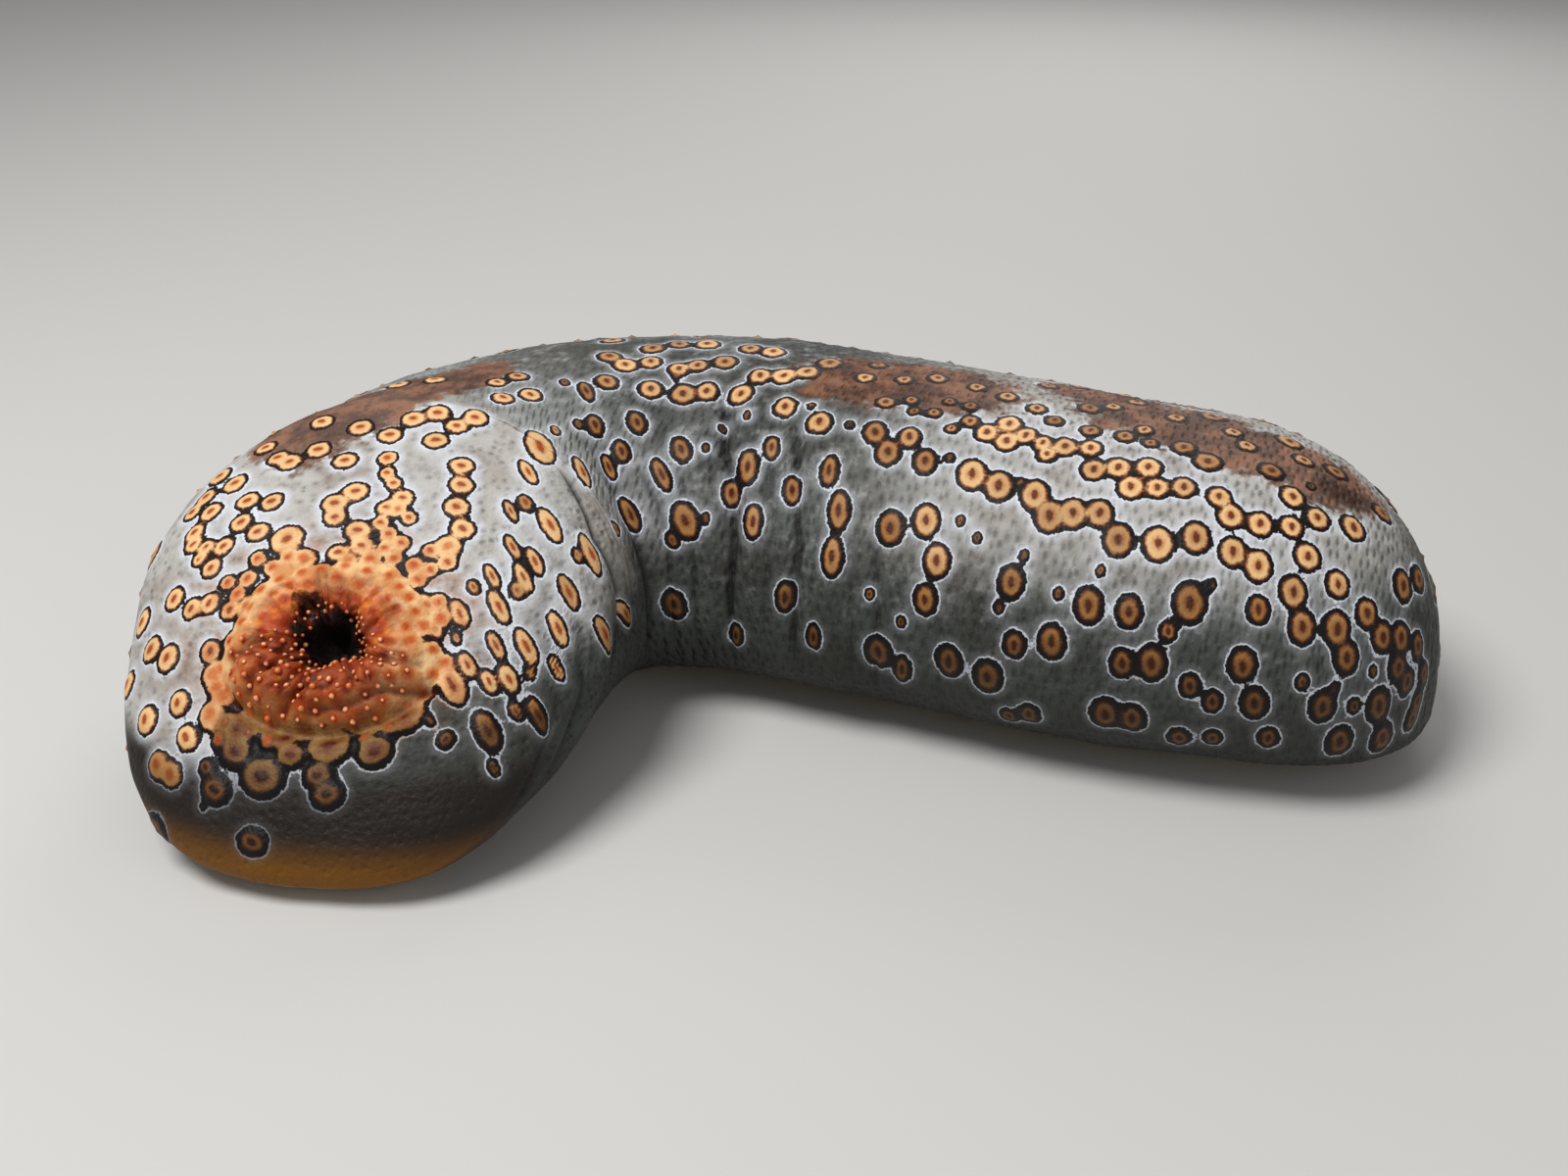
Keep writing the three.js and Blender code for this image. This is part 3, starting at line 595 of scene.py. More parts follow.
# The mouth: a hollow under the head with room for the tentacles.
MOUTH_FROM_HEAD, MOUTH_RADIUS, MOUTH_ROOF = 31.0, 13.4, 14.0
mouth = body(BODY_LENGTH - MOUTH_FROM_HEAD, -math.pi / 2)
mouth_away = np.linalg.norm((SMOOTH_BODY - mouth)[:, :2], axis=1)
under = (SMOOTH_BODY[:, 2] < 12) & (NORMAL[:, 2] < -0.2) & (mouth_away < MOUTH_RADIUS + 3)
finished[:, 2] += np.where(under, MOUTH_ROOF * smooth((MOUTH_RADIUS + 3 - mouth_away) / 6), 0)

finished_normal = shape(finished)
mesh = bpy.data.meshes.new("skin")
bm.to_mesh(mesh)
bm.free()
mesh.shade_smooth()


def vectors(target, name, columns):
    """Gives a mesh an attribute that holds three values a point."""
    layer = target.attributes.new(name, "FLOAT_VECTOR", "POINT")
    layer.data.foreach_set("vector", np.stack(columns, axis=1).astype(np.float32).ravel())


HEIGHT = SMOOTH_BODY[:, 2]
# The underside of the tail, painted dark in the material: partly its brown-grey colour, mostly painted shade.
shaded_tail_under = smooth((31 - HEIGHT) / 13) * smooth((-NORMAL @ TAIL_FORWARD - 0.25) / 0.5)
shaded_tail_under *= 1 - smooth((S - 18) / 30)
pale = smooth((78 - S) / 34) * smooth((HEIGHT - 36 + 20 * smooth((-to_right - 8) / 14)) / 14)
pale *= 1 - 0.4 * smooth((to_right - 26) / 20)
pale = np.maximum(pale, 0.85 * smooth((S - 185) / 50) * smooth((HEIGHT - 44) / 20))
light_spots = smooth((92 - S) / 30) * smooth((HEIGHT - 29 + 20 * smooth((-to_right - 16) / 12)) / 13)
near_tail = smooth((74 - S) / 20)
# where the material paints shade over the middle of the body, at the bend
shaded_middle = smooth(1.35 - np.abs(S - 148) / 60)
sole = smooth((7 - HEIGHT) / 5) * smooth((-NORMAL[:, 2] - 0.3) / 0.5)

# Lengths on the skin in mm for the rows of pores: along the body from its middle station, and round it.
GRID_ROWS, GRID_COLUMNS = 241, 73
GRID_S = BODY_LENGTH * np.sin(np.linspace(0, 1, GRID_ROWS) * math.pi / 2) ** 2
GRID_PHI = np.linspace(-math.pi / 2, 3 * math.pi / 2, GRID_COLUMNS)
grid_run = np.linalg.norm(np.diff(body(GRID_S[:, None], GRID_PHI[None, :]), axis=0), axis=2).cumsum(axis=0)
grid_run = np.vstack([np.zeros(GRID_COLUMNS), grid_run])
grid_run -= grid_run[GRID_ROWS // 2]
row_at = np.interp(S, GRID_S, np.arange(GRID_ROWS))
column_at = np.interp(PHI, GRID_PHI, np.arange(GRID_COLUMNS))
row_from = np.minimum(row_at.astype(int), GRID_ROWS - 2)
column_from = np.minimum(column_at.astype(int), GRID_COLUMNS - 2)
row_part, column_part = row_at - row_from, column_at - column_from
run_here = sum(grid_run[row_from + i, column_from + j] * (row_part if i else 1 - row_part)
               * (column_part if j else 1 - column_part) for i in (0, 1) for j in (0, 1))
hoop = np.linalg.norm(np.diff(body(BODY_LENGTH / 2, GRID_PHI), axis=0), axis=1).cumsum()
girth_here = np.interp(PHI, GRID_PHI, np.concatenate([[0], hoop]))

# What the skin's material reads.
vectors(mesh, "ring", [edge, rho, gap])
vectors(mesh, "eye", eye.T)
vectors(mesh, "zone", [saddle, collar_away, shaded_tail_under])
vectors(mesh, "depth", [np.clip(crease_shade_line, 0, 3), np.where(drawn, 1 - q, 0), below_anus * at_tail])
vectors(mesh, "base", [sole, np.where(under, mouth_away, 40), pale])
vectors(mesh, "flat", [run_here, girth_here, shaded_middle])
vectors(mesh, "tail", [ray_fold, near_tail, light_spots])
vectors(mesh, "size", [reach_here, half[:, 0], half[:, 1]])
vectors(mesh, "mark", [blob, np.zeros(len(S)), np.zeros(len(S))])


def show(mesh, name, material, replaced=()):
    """Makes a mesh a piece of the scene, with the solids that it takes the place of."""
    piece = bpy.data.objects.new(name, mesh)
    bpy.context.scene.collection.objects.link(piece)
    mesh.materials.append(material)
    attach(piece, "root")
    if replaced:
        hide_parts(*replaced)


# Materials.

def rgb(r, g, b):
    """A colour as seen on screen, in the renderer's linear numbers."""
    seen = [c / 255 for c in (r, g, b)]
    return (*(c / 12.92 if c < 0.0404 else ((c + 0.055) / 1.055) ** 2.4 for c in seen), 1.0)


class Nodes:
    """Short ways to add nodes to a material."""

    def __init__(self, tree):
        self.tree = tree

    def add(self, kind, inputs=None, **settings):
        node = self.tree.nodes.new(kind)
        for key, value in settings.items():
            setattr(node, key, value)
        for key, value in (inputs or {}).items():
            if isinstance(value, bpy.types.NodeSocket):
                self.tree.links.new(value, node.inputs[key])
            else:
                node.inputs[key].default_value = value
        return node

    def math(self, operation, *values):
        return self.add("ShaderNodeMath", dict(enumerate(values)), operation=operation).outputs[0]

    def mix(self, factor, a, b, blend="MIX"):
        return self.add("ShaderNodeMix", {0: factor, 6: a, 7: b}, data_type="RGBA",
                        blend_type=blend).outputs[2]

    def blend(self, factor, a, b):
        return self.add("ShaderNodeMix", {0: factor, 2: a, 3: b}, data_type="FLOAT").outputs[0]

    def step(self, value, low, high, to_low=0.0, to_high=1.0):
        return self.add("ShaderNodeMapRange", {0: value, 1: low, 2: high, 3: to_low, 4: to_high},
                        interpolation_type="SMOOTHSTEP").outputs[0]

    def parts(self, name):
        vector = self.add("ShaderNodeAttribute", attribute_name=name).outputs["Vector"]
        return self.add("ShaderNodeSeparateXYZ", {0: vector}).outputs

    def noise(self, where, scale, detail=2.0, rough=0.5):
        return self.add("ShaderNodeTexNoise", {"Vector": where, "Scale": scale, "Detail": detail,
                                               "Roughness": rough}).outputs["Fac"]

    def times(self, a, b):
        return self.math("MULTIPLY", a, b)

    def plus(self, a, b):
        return self.math("ADD", a, b)

    def minus(self, a, b):
        return self.math("SUBTRACT", a, b)

    def length(self, x, y):
        return self.math("SQRT", self.plus(self.times(x, x), self.times(y, y)))


def material(name):
    made = bpy.data.materials.new(name)
    made.use_nodes = True
    nodes = Nodes(made.node_tree)
    return made, nodes, made.node_tree.nodes["Principled BSDF"]


# The pores, in mm: their pitch along the body and round it, and the width and length of one.
PORE_PITCH, PORE_ROW = 2.5, 3.3
PORE_WIDE, PORE_LONG = 0.3, 0.75
SKIN_SHINE = 0.22


def skin_material():
    made, n, out = material("spotted_skin")
    where = n.add("ShaderNodeTexCoord").outputs["Object"]
    height = n.add("ShaderNodeSeparateXYZ", {0: where}).outputs[2]
    edge, rho, gap = n.parts("ring")
    eye_x, eye_y, tone = n.parts("eye")
    saddle, collar_away, shaded_tail_under = n.parts("zone")
    painted_crease_shade, pit, below = n.parts("depth")
    sole, mouth_away, pale = n.parts("base")
    run, girth, middle_shade = n.parts("flat")
    ray_fold, near_tail, light = n.parts("tail")
    size, half_along, half_round = n.parts("size")
    blob = n.parts("mark")[0]
    below = n.times(below, n.step(collar_away, 34, 24))
    cell = n.step(tone, -0.3, -0.7)

    # away from its neighbours a spot's outline is worked out afresh at each point, sharper than the mesh
    own_rho = n.length(eye_x, eye_y)
    slope = n.length(n.math("DIVIDE", eye_x, half_along), n.math("DIVIDE", eye_y, half_round))
    slope = n.math("MAXIMUM", slope, 0.0001)
    own_edge = n.math("DIVIDE", n.times(own_rho, n.minus(own_rho, 1.0)), slope)
    alone = n.times(n.step(gap, 2.4, 3.4), n.step(collar_away, 28, 34))
    alone = n.times(alone, n.step(edge, 1.8, 1.0))
    rho = n.blend(alone, rho, own_rho)
    edge = n.blend(alone, edge, own_edge)

    # ground colour between the spots, darker low on the body and lighter on top: partly the skin's own tone,
    # partly painted shade
    broad = n.noise(where, 45, 3)
    mottle = n.noise(where, 260, 4, 0.6)
    fine = n.noise(where, 1100, 3)
    ground = n.mix(n.step(height, 0.002, 0.038), rgb(46, 48, 45), rgb(68, 72, 69))
    ground = n.mix(n.step(height, 0.040, 0.068), ground, rgb(136, 139, 136))
    # painted shade over the middle of the body, at the bend
    ground = n.mix(n.times(n.step(height, 0.034, 0.064, 0.0, 0.9), middle_shade), ground, rgb(62, 64, 60))
    ground = n.mix(n.times(pale, 0.85), ground, rgb(194, 190, 184))
    ground = n.mix(n.step(broad, 0.42, 0.68, 0, 0.6), ground, rgb(202, 186, 174), "MULTIPLY")
    # painted sheen: pale patches high on the flanks
    painted_sheen = n.step(n.noise(where, 24, 2), 0.50, 0.68, 0, 0.28)
    ground = n.mix(n.times(painted_sheen, n.step(height, 0.036, 0.056)), ground, rgb(196, 198, 200))
    ground = n.mix(n.step(mottle, 0.45, 0.75, 0, 0.45), ground, rgb(150, 142, 136), "MULTIPLY")
    fleck = n.step(mottle, 0.5, 0.25, 0, 0.35)
    ground = n.mix(n.times(fleck, n.step(height, 0.02, 0.066)), ground, rgb(204, 204, 202))
    brown = n.plus(saddle, n.times(n.minus(mottle, 0.5), 1.5))
    brown = n.times(n.step(brown, 0.3, 0.75), n.step(saddle, 0.02, 0.15))
    rust = n.mix(n.step(n.noise(where, 120, 4, 0.65), 0.4, 0.62), rgb(80, 46, 28), rgb(140, 92, 64))
    ground = n.mix(n.times(brown, 0.9), ground, rust)
    ground = n.mix(n.times(blob, 0.9), ground, rgb(54, 28, 16))
    # painted shade under the tail, over its brown-grey skin
    ground = n.mix(n.step(shaded_tail_under, 0.05, 0.7), ground, rgb(32, 26, 21))
    ochre = n.times(n.step(height, 0.017, 0.006), shaded_tail_under)
    ground = n.mix(ochre, ground, rgb(124, 78, 12))
    # painted shade darkens the creases
    ground = n.mix(n.step(painted_crease_shade, 0.05, 1.2, 0, 0.8), ground, rgb(34, 32, 32))
    on_sole = n.step(n.plus(sole, n.times(n.minus(mottle, 0.5), 1.2)), 0.3, 0.7)
    buff = n.mix(n.step(n.noise(where, 140, 3), 0.4, 0.65), rgb(182, 164, 134), rgb(156, 130, 96))
    ground = n.mix(n.times(on_sole, n.step(sole, 0.02, 0.2)), ground, buff)

    # pores: rows of short dark dashes that run round the body, each in a shallow dimple
    slant = n.plus(n.math("DIVIDE", run, PORE_PITCH), n.math("DIVIDE", girth, 2 * PORE_ROW))
    rows = n.add("ShaderNodeCombineXYZ", {0: slant, 1: n.math("DIVIDE", girth, PORE_ROW)}).outputs[0]
    seed = n.add("ShaderNodeTexVoronoi", {"Vector": rows, "Scale": 1.0, "Randomness": 0.55},
                 voronoi_dimensions="2D").outputs["Position"]
    off = n.add("ShaderNodeVectorMath", {0: rows, 1: seed}, operation="SUBTRACT").outputs[0]
    off_x, off_y, _ = n.add("ShaderNodeSeparateXYZ", {0: off}).outputs
    off_x = n.minus(off_x, n.times(off_y, 0.5))
    dash = n.length(n.times(off_x, PORE_PITCH / PORE_WIDE), n.times(off_y, PORE_ROW / PORE_LONG))
    round_pore = n.add("ShaderNodeTexVoronoi", {"Vector": where, "Scale": 430, "Randomness": 0.8})
    dash = n.blend(near_tail, dash, n.times(round_pore.outputs["Distance"], 5.5))
    dash = n.plus(dash, n.times(n.minus(n.noise(where, 900, 2), 0.5), 0.8))
    pore = n.step(dash, 1.3, 0.5)
    dimple = n.step(dash, 3.0, 0.3)
    plain = n.minus(1.0, n.math("MAXIMUM", brown, n.step(shaded_tail_under, 0.0, 0.3)))
    off_collar = n.step(collar_away, 20, 24)
    clear = n.times(off_collar, n.step(edge, -0.2, 1.2))
    clear = n.times(clear, n.step(sole, 0.5, 0.1))
    faint = n.step(n.noise(where, 700, 1), 0.35, 0.55, 0.35, 1.0)
    pore = n.times(pore, n.times(clear, faint))
    dimple = n.times(dimple, clear)
    ground = n.mix(n.times(pore, n.step(plain, 0.0, 1.0, 0.08, 0.36)), ground, rgb(48, 42, 40))
    # painted shade in each pore's shallow dimple
    ground = n.mix(n.times(dimple, n.step(plain, 0.0, 1.0, 0.0, 0.07)), ground, rgb(70, 66, 62))

    # halo, dark ring, middle and dot of each spot
    jag = n.plus(n.times(n.minus(n.noise(where, 620, 3, 0.55), 0.5), 0.9),
                 n.times(n.minus(n.noise(where, 1700, 2), 0.5), 0.45))
    # spots are darker lower on the body and under the tail: partly their own darker pigment, partly painted
    # shade
    low = n.times(n.step(height, 0.062, 0.028), n.step(light, 0.0, 1.0, 1.0, 0.1))
    low = n.math("MAXIMUM", low, n.times(shaded_tail_under, 0.8))
    dark = n.math("MAXIMUM", low, n.times(tone, n.step(light, 0.0, 1.0, 1.0, 0.5)))
    ragged = n.math("MINIMUM", n.times(size, 0.45), 1.3)
    outer = n.plus(edge, n.times(jag, ragged))
    thick = n.blend(light, n.step(dark, 0.0, 1.0, 0.62, 0.95), 0.46)
    thick = n.blend(n.step(below, 0.2, 0.8, 0.0, 0.7), thick, 0.62)
    thick = n.math("MINIMUM", thick, n.times(size, 0.27))
    line = n.math("DIVIDE", outer, thick)
    # halos are dimmed under the tail and lower on the body by painted shade, and left out on the brown
    # saddles, which have none
    shade = n.times(n.step(shaded_tail_under, 0.3, 0.9, 1.0, 0.35), n.step(brown, 0.1, 0.7, 1.0, 0.0))
    halo = n.times(n.step(outer, 2.4, 0.1), shade)
    strong = n.plus(n.step(height, 0.03, 0.066, 0.08, 0.3), n.times(pale, 0.5))
    ground = n.mix(n.times(halo, strong), ground, rgb(214, 216, 222))
    bright = n.times(n.step(outer, 0.5, 0.15), shade)
    bright = n.times(bright, n.step(height, 0.01, 0.055, 0.5, 0.8))
    ground = n.mix(bright, ground, rgb(224, 230, 240))
    fill = n.mix(n.step(dark, 0.0, 0.5), rgb(240, 198, 142), rgb(164, 116, 64))
    fill = n.mix(n.step(dark, 0.5, 1.0), fill, n.mix(below, rgb(106, 70, 34), rgb(146, 112, 62)))
    around = n.mix(n.step(dark, 0.0, 0.5), rgb(208, 118, 54), rgb(110, 54, 18))
    around = n.mix(n.step(dark, 0.5, 1.0), around, n.mix(below, rgb(62, 30, 10), rgb(104, 48, 14)))
    aura = n.step(n.plus(rho, n.times(jag, 0.3)), n.step(below, 0.2, 0.8, 0.54, 0.8), 0.14)
    middle = n.mix(n.times(aura, 0.8), fill, around)
    rim = n.step(n.plus(rho, n.times(jag, 0.1)), 0.72, 1.0)
    rim = n.math("MAXIMUM", rim, n.step(line, -2.6, -1.7))
    rimless = n.math("MAXIMUM", cell, n.step(below, 0.2, 0.8, 0.0, 0.85))
    rim = n.times(rim, n.minus(1.0, rimless))
    middle = n.mix(n.times(rim, 0.85), middle, n.mix(dark, rgb(150, 80, 30), rgb(48, 26, 12)))
    apart = n.length(eye_x, n.times(eye_y, 0.62))
    dot = n.times(n.step(n.plus(apart, n.times(jag, 0.25)), 0.25, 0.12), n.step(gap, 1.6, 2.6))
    dot_colour = n.mix(light, n.mix(dark, rgb(92, 32, 8), rgb(34, 12, 4)), rgb(150, 62, 22))
    dot_colour = n.mix(below, dot_colour, rgb(84, 28, 6))
    middle = n.mix(n.times(dot, 0.9), middle, dot_colour)
    ink = n.mix(n.step(line, -1.7, -0.9), n.mix(dark, rgb(84, 34, 12), rgb(34, 18, 12)), rgb(12, 8, 8))
    spot = n.mix(n.step(line, -2.0, -1.4), middle, ink)
    colour = n.mix(n.step(line, 0.12, -0.12), ground, spot)
    worn = n.step(n.noise(where, 210, 3, 0.6), 0.38, 0.62, 0.0, 0.75)
    worn = n.times(worn, n.step(collar_away, 34, 24))
    colour = n.mix(worn, colour, rgb(214, 160, 118), "MULTIPLY")

    # the collar: cream cells with orange dots that run together toward the dark pit
    blot = n.noise(where, 170, 3)
    deep = n.plus(collar_away, n.times(n.minus(blot, 0.5), 12.0))
    deep = n.minus(deep, n.times(below, 4.0))
    heat = n.step(deep, 18.0, 9.0)
    freckle = n.times(n.step(n.plus(rho, n.times(jag, 0.4)), 0.8, 0.2), cell)
    strong = n.step(collar_away, 30, 14, 0.35, 0.8)
    colour = n.mix(n.times(freckle, strong), colour, rgb(206, 96, 34))
    orange = n.mix(n.step(n.noise(where, 420, 3), 0.4, 0.66), rgb(196, 66, 2), rgb(236, 140, 40))
    orange = n.mix(n.step(deep, 12.0, 5.0), orange, rgb(156, 40, 0))
    orange = n.mix(n.times(freckle, 0.8), orange, rgb(150, 38, 0))
    orange = n.mix(n.step(n.noise(where, 130, 3), 0.48, 0.62, 0.0, 0.6), orange, rgb(104, 30, 2))
    orange = n.mix(n.times(below, 0.4), orange, rgb(132, 44, 4))
    colour = n.mix(n.times(heat, 0.92), colour, orange)
    # painted shade in the collar's folds
    colour = n.mix(n.times(ray_fold, n.step(below, 0.0, 1.0, 0.45, 0.75)), colour, rgb(92, 30, 10))
    shadow = n.minus(n.noise(where, 330, 3), 0.5)
    shadow = n.plus(pit, n.times(shadow, n.step(pit, 0.0, 0.08, 0.0, 1.3)))
    colour = n.mix(n.step(shadow, 0.0, 0.32, 0, 0.85), colour, rgb(84, 26, 4))
    colour = n.mix(n.step(shadow, 0.16, 0.5), colour, rgb(16, 5, 3))

    # the mouth under the head: brown skin round it, and painted shade for the dark opening in its middle
    colour = n.mix(n.step(mouth_away, 16.0, 12.0), colour, rgb(74, 52, 40))
    colour = n.mix(n.step(mouth_away, 3.6, 2.2), colour, rgb(12, 6, 5))

    dimple = n.times(dimple, n.step(shaded_tail_under, 0.0, 0.5, -0.8, -0.3))
    bumps = n.plus(dimple, n.times(fine, 0.5))
    bumps = n.plus(bumps, n.times(pore, -0.35))
    normal = n.add("ShaderNodeBump", {"Strength": 0.6, "Distance": 0.0010, "Height": bumps}).outputs[0]
    n.tree.links.new(colour, out.inputs["Base Color"])
    n.tree.links.new(n.step(line, 0.4, -0.4, 0.6, 0.5), out.inputs["Roughness"])
    n.tree.links.new(normal, out.inputs["Normal"])
    out.inputs["Specular IOR Level"].default_value = SKIN_SHINE
    return made


BODY_NODES = ("tail_end", "rear_body", "middle_body", "front_body", "head_end", "sole_tail", "sole_rear",
              "sole_middle", "sole_front", "sole_head", "anal_collar")
show(mesh, "skin", skin_material(), BODY_NODES)

# Small parts that grow on the skin.


def turned(profile, steps):
    """A small solid of revolution: profile gives (radius, height) in mm from its foot up to its tip."""
    made = bmesh.new()
    verts = [made.verts.new((r * MM, 0, z * MM)) for r, z in profile]
    edges = [made.edges.new(pair) for pair in zip(verts, verts[1:])]
    bmesh.ops.spin(made, geom=verts + edges, cent=(0, 0, 0), axis=(0, 0, 1), angle=2 * math.pi, steps=steps,
                   use_merge=True)
    bmesh.ops.remove_doubles(made, verts=made.verts, dist=1e-7)
    bmesh.ops.recalc_face_normals(made, faces=made.faces)
    return made


def as_mesh(made, name):
    mesh = bpy.data.meshes.new(name)
    made.to_mesh(mesh)
    made.free()
    mesh.shade_smooth()
    return mesh


def joined(name, shape_mesh, places, tones, height):
    """Copies of one small shape in one mesh. "grown" holds how far up a point lies, and the copy's tone."""
    count = len(shape_mesh.vertices)
    up = np.array([v.co.z for v in shape_mesh.vertices]) / (height * MM)
    made = bmesh.new()
    for place in places:
        copy = shape_mesh.copy()
        copy.transform(place)
        made.from_mesh(copy)
        bpy.data.meshes.remove(copy)
    mesh = as_mesh(made, name)
    vectors(mesh, "grown", [np.tile(up, len(places)), np.repeat(tones, count), np.zeros(count * len(places))])
    return mesh


def standing(point, normal, scale, turn=0.0):
    """Places a shape at a point in mm with its height along the normal."""
    tilt = Vector(normal).to_track_quat("Z", "Y").to_matrix().to_4x4()
    return (Matrix.Translation(Vector(point) * MM) @ tilt @ Matrix.Rotation(turn, 4, "Z")
            @ Matrix.Diagonal((*scale, 1.0)))


def spread_out(candidates, spacing):
    """Vertices in random order, none closer to another than spacing(vertex) in mm."""
    kept = []
    held = np.zeros((0, 3))
    for i in candidates:
        p = finished[i]
        if len(kept) and ((held - p) ** 2).sum(axis=1).min() < spacing(i) ** 2:
            continue
        kept.append(i)
        held = np.vstack([held, p])
    return kept


# warts of the anal collar
WART = [(0.0001, -0.5), (0.82, -0.4), (0.84, 0.2), (0.66, 0.6), (0.34, 0.86), (0.0001, 0.93)]
on_lobes = [i for i in order if 5.5 < from_axis[i] and collar_away[i] < 8 + 12 * below_anus[i]]
warts = spread_out([i for i in cells if below_anus[i] > 0.3 and collar_away[i] < 21] + on_lobes,
                   lambda i: rng.uniform(1.6, 2.3) + 0.10 * max(collar_away[i] - 7, 0))
places, tones = [], []
for i in warts:
    size = rng.uniform(0.5, 0.95) * (0.75 + 0.25 * below_anus[i])
    places.append(standing(finished[i], finished_normal[i], (size, size, size * rng.uniform(0.6, 1.1))))
    tones.append(rng.random())
wart_mesh = joined("anal_warts", as_mesh(turned(WART, 10), "wart"), places, tones, 0.93)


def foot_to_tip():
    """The effect that small parts share: a colour that runs from foot to tip, duller on some than others."""
    group = bpy.data.node_groups.new("foot_to_tip", "ShaderNodeTree")
    for name, kind in [("Where", "Vector"), ("Up", "Float"), ("Tone", "Float"), ("Foot", "Color"),
                       ("Tip", "Color"), ("Dull", "Color"), ("From", "Float"), ("To", "Float")]:
        group.interface.new_socket(name, in_out="INPUT", socket_type="NodeSocket" + kind)
    group.interface.new_socket("Colour", in_out="OUTPUT", socket_type="NodeSocketColor")
    n = Nodes(group)
    given = n.add("NodeGroupInput").outputs
    rough_line = n.times(n.minus(n.noise(given["Where"], 1500, 2), 0.5), 0.5)
    share = n.step(n.plus(given["Up"], rough_line), given["From"], given["To"])
    colour = n.mix(share, given["Foot"], given["Tip"])
    colour = n.mix(n.step(given["Tone"], 0.35, 0.9, 0, 0.8), colour, given["Dull"])
    n.add("NodeGroupOutput", {"Colour": colour})
    return group


FOOT_TO_TIP = foot_to_tip()


def grown_material(name, rough, foot, tip, dull, start, end):
    """The material of a small part: its colours, and how far up the foot's gives way to the tip's."""
    made, n, out = material(name)
    up, tone, _ = n.parts("grown")
    where = n.add("ShaderNodeTexCoord").outputs["Object"]
    colour = n.add("ShaderNodeGroup", {
        "Where": where, "Up": up, "Tone": tone, "Foot": rgb(*foot), "Tip": rgb(*tip), "Dull": rgb(*dull),
        "From": start, "To": end}, node_tree=FOOT_TO_TIP)
    n.tree.links.new(colour.outputs["Colour"], out.inputs["Base Color"])
    out.inputs["Roughness"].default_value = rough
    return made


# the warts' pale tips are partly their own colour, partly a painted highlight
wart_flesh = grown_material("wart_flesh", 0.3, (176, 60, 14), (246, 180, 124), (206, 96, 38), 0.4, 1.0)
show(wart_mesh, "anal_warts", wart_flesh)

# tube feet under the whole sole
FOOT = [(0.0001, 0.0), (0.85, 0.0), (0.98, 0.22), (0.62, 0.75), (0.55, 1.9), (0.75, 3.6), (0.0001, 4.4)]
FOOT_PITCH_ALONG, FOOT_PITCH_ACROSS = 5.2, 4.8
places, tones = [], []
for a in np.arange(8, BODY_LENGTH - 6, FOOT_PITCH_ALONG):
    for b in np.arange(-48, 49, FOOT_PITCH_ACROSS):
        s = a + rng.uniform(-1.5, 1.5)
        u = b + rng.uniform(-1.4, 1.4)
        h = float(heading(s))
        x = float(np.interp(s, LINE_S, LINE_X)) + math.sin(h) * u
        y = float(np.interp(s, LINE_S, LINE_Y)) - math.cos(h) * u
        point, normal, face, _ = TREE.ray_cast(Vector((x, y, -20)) * MM, Vector((0, 0, 1)))
        if point is None or point.z > 3.2 * MM or math.hypot(x - mouth[0], y - mouth[1]) < MOUTH_RADIUS + 2.5:
            continue
        size = rng.uniform(0.75, 1.1)
        lean = Matrix.Shear("XY", 4, (rng.uniform(-0.16, 0.16), rng.uniform(-0.16, 0.16)))
        places.append(standing((x, y, 0.12), (0, 0, 1), (size, size, 1.0)) @ lean)
        tones.append(rng.random())
foot_mesh = joined("tube_feet", as_mesh(turned(FOOT, 8), "foot"), places, tones, 4.4)
foot_flesh = grown_material("foot_flesh", 0.5, (110, 78, 50), (214, 196, 160), (176, 140, 96), 0.0, 0.35)
show(foot_mesh, "tube_feet", foot_flesh)

# mouth tentacles: two rings of stalks, each with a shield of knobs
TENTACLE_HEIGHT = 13.0
STALK = [(0.0001, 0.9), (1.5, 0.9), (2.0, 1.5), (1.7, 2.3), (0.95, 3.1), (0.85, 8.0), (1.1, TENTACLE_HEIGHT)]
tentacle = turned(STALK, 14)
for ring, (count, away, size) in enumerate([(9, 1.9, 0.62), (5, 1.0, 0.55), (1, 0.0, 0.6)]):
    for k in range(count):
        turn = 2 * math.pi * (k + 0.5 * ring) / count
        knob = Vector((math.cos(turn) * away, math.sin(turn) * away, 1.25 - 0.2 * ring))
        place = Matrix.Translation(knob * MM)
        bmesh.ops.create_icosphere(tentacle, subdivisions=1, radius=size * MM, matrix=place)
places, tones = [], []
for count, away in [(8, 5.9), (12, 10.4)]:
    for k in range(count):
        turn = 2 * math.pi * (k + rng.uniform(-0.12, 0.12)) / count + away
        at = (mouth[0] + math.cos(turn) * away, mouth[1] + math.sin(turn) * away, 0.0)
        size = rng.uniform(0.88, 1.08)
        places.append(standing(at, (0, 0, 1), (size, size, rng.uniform(0.96, 1.03)), turn))
        tones.append(rng.random())
tentacle_mesh = joined("mouth_tentacles", as_mesh(tentacle, "tentacle"), places, tones, TENTACLE_HEIGHT)
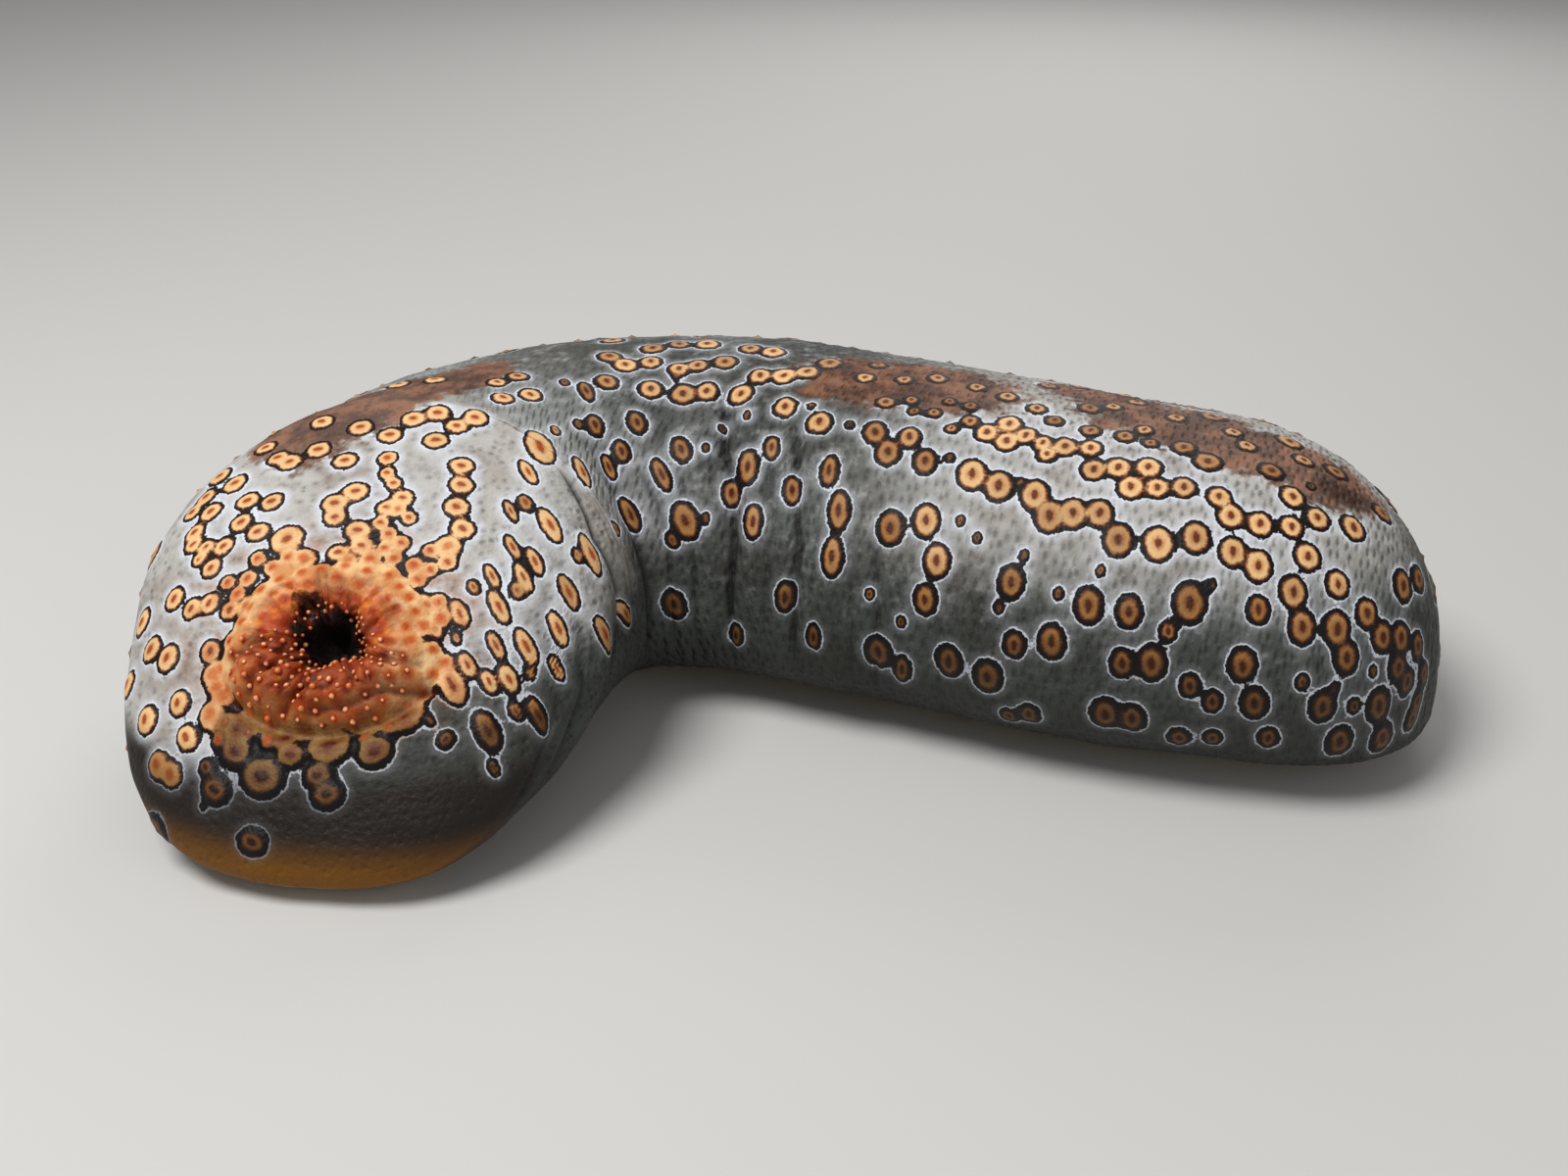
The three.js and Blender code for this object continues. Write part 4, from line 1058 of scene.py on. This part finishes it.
tentacle_flesh = grown_material("tentacle_flesh", 0.45, (92, 66, 44), (44, 28, 22), (60, 42, 30), 0.05, 0.4)
show(tentacle_mesh, "mouth_tentacles", tentacle_flesh, ("tentacle_crown",))

# Floor, light and camera.

floor_bm = bmesh.new()
bmesh.ops.create_grid(floor_bm, x_segments=1, y_segments=1, size=3.0)
floor_mesh = bpy.data.meshes.new("floor")
floor_bm.to_mesh(floor_mesh)
floor_bm.free()
floor = bpy.data.objects.new("floor", floor_mesh)
bpy.context.scene.collection.objects.link(floor)
floor_material, _, floor_out = material("floor")
floor_out.inputs["Base Color"].default_value = (0.62, 0.61, 0.59, 1)
floor_out.inputs["Roughness"].default_value = 0.8
floor_mesh.materials.append(floor_material)


def lamp(name, at, size, power):
    data = bpy.data.lights.new(name, "AREA")
    data.shape = "DISK"
    data.size = size
    data.energy = power
    light = bpy.data.objects.new(name, data)
    light.location = at
    light.rotation_euler = (Vector((0, 0.03, 0.03)) - Vector(at)).to_track_quat("-Z", "Y").to_euler()
    bpy.context.scene.collection.objects.link(light)


lamp("key", (-0.40, -0.25, 0.95), 0.5, 9)
lamp("fill", (0.8, -0.75, 0.45), 0.9, 1.6)
lamp("back", (0.25, 0.9, 0.6), 0.7, 2.5)

world = bpy.data.worlds.new("studio")
bpy.context.scene.world = world
world.use_nodes = True
world.node_tree.nodes["Background"].inputs[0].default_value = (0.80, 0.80, 0.80, 1)
world.node_tree.nodes["Background"].inputs[1].default_value = 0.30

bpy.context.scene.view_settings.view_transform = "Standard"

camera_data = bpy.data.cameras.new("camera")
camera_data.sensor_fit = "HORIZONTAL"
camera_data.sensor_width = 36
camera_data.lens = 18 / math.tan(math.radians(VIEW_ACROSS / 2))
camera_data.clip_start = 0.01
camera_data.clip_end = 20
camera = bpy.data.objects.new("camera", camera_data)
camera.location = CAMERA_AT * MM
camera.rotation_euler = (math.pi / 2 - TILT, 0, 0)
bpy.context.scene.collection.objects.link(camera)
bpy.context.scene.camera = camera
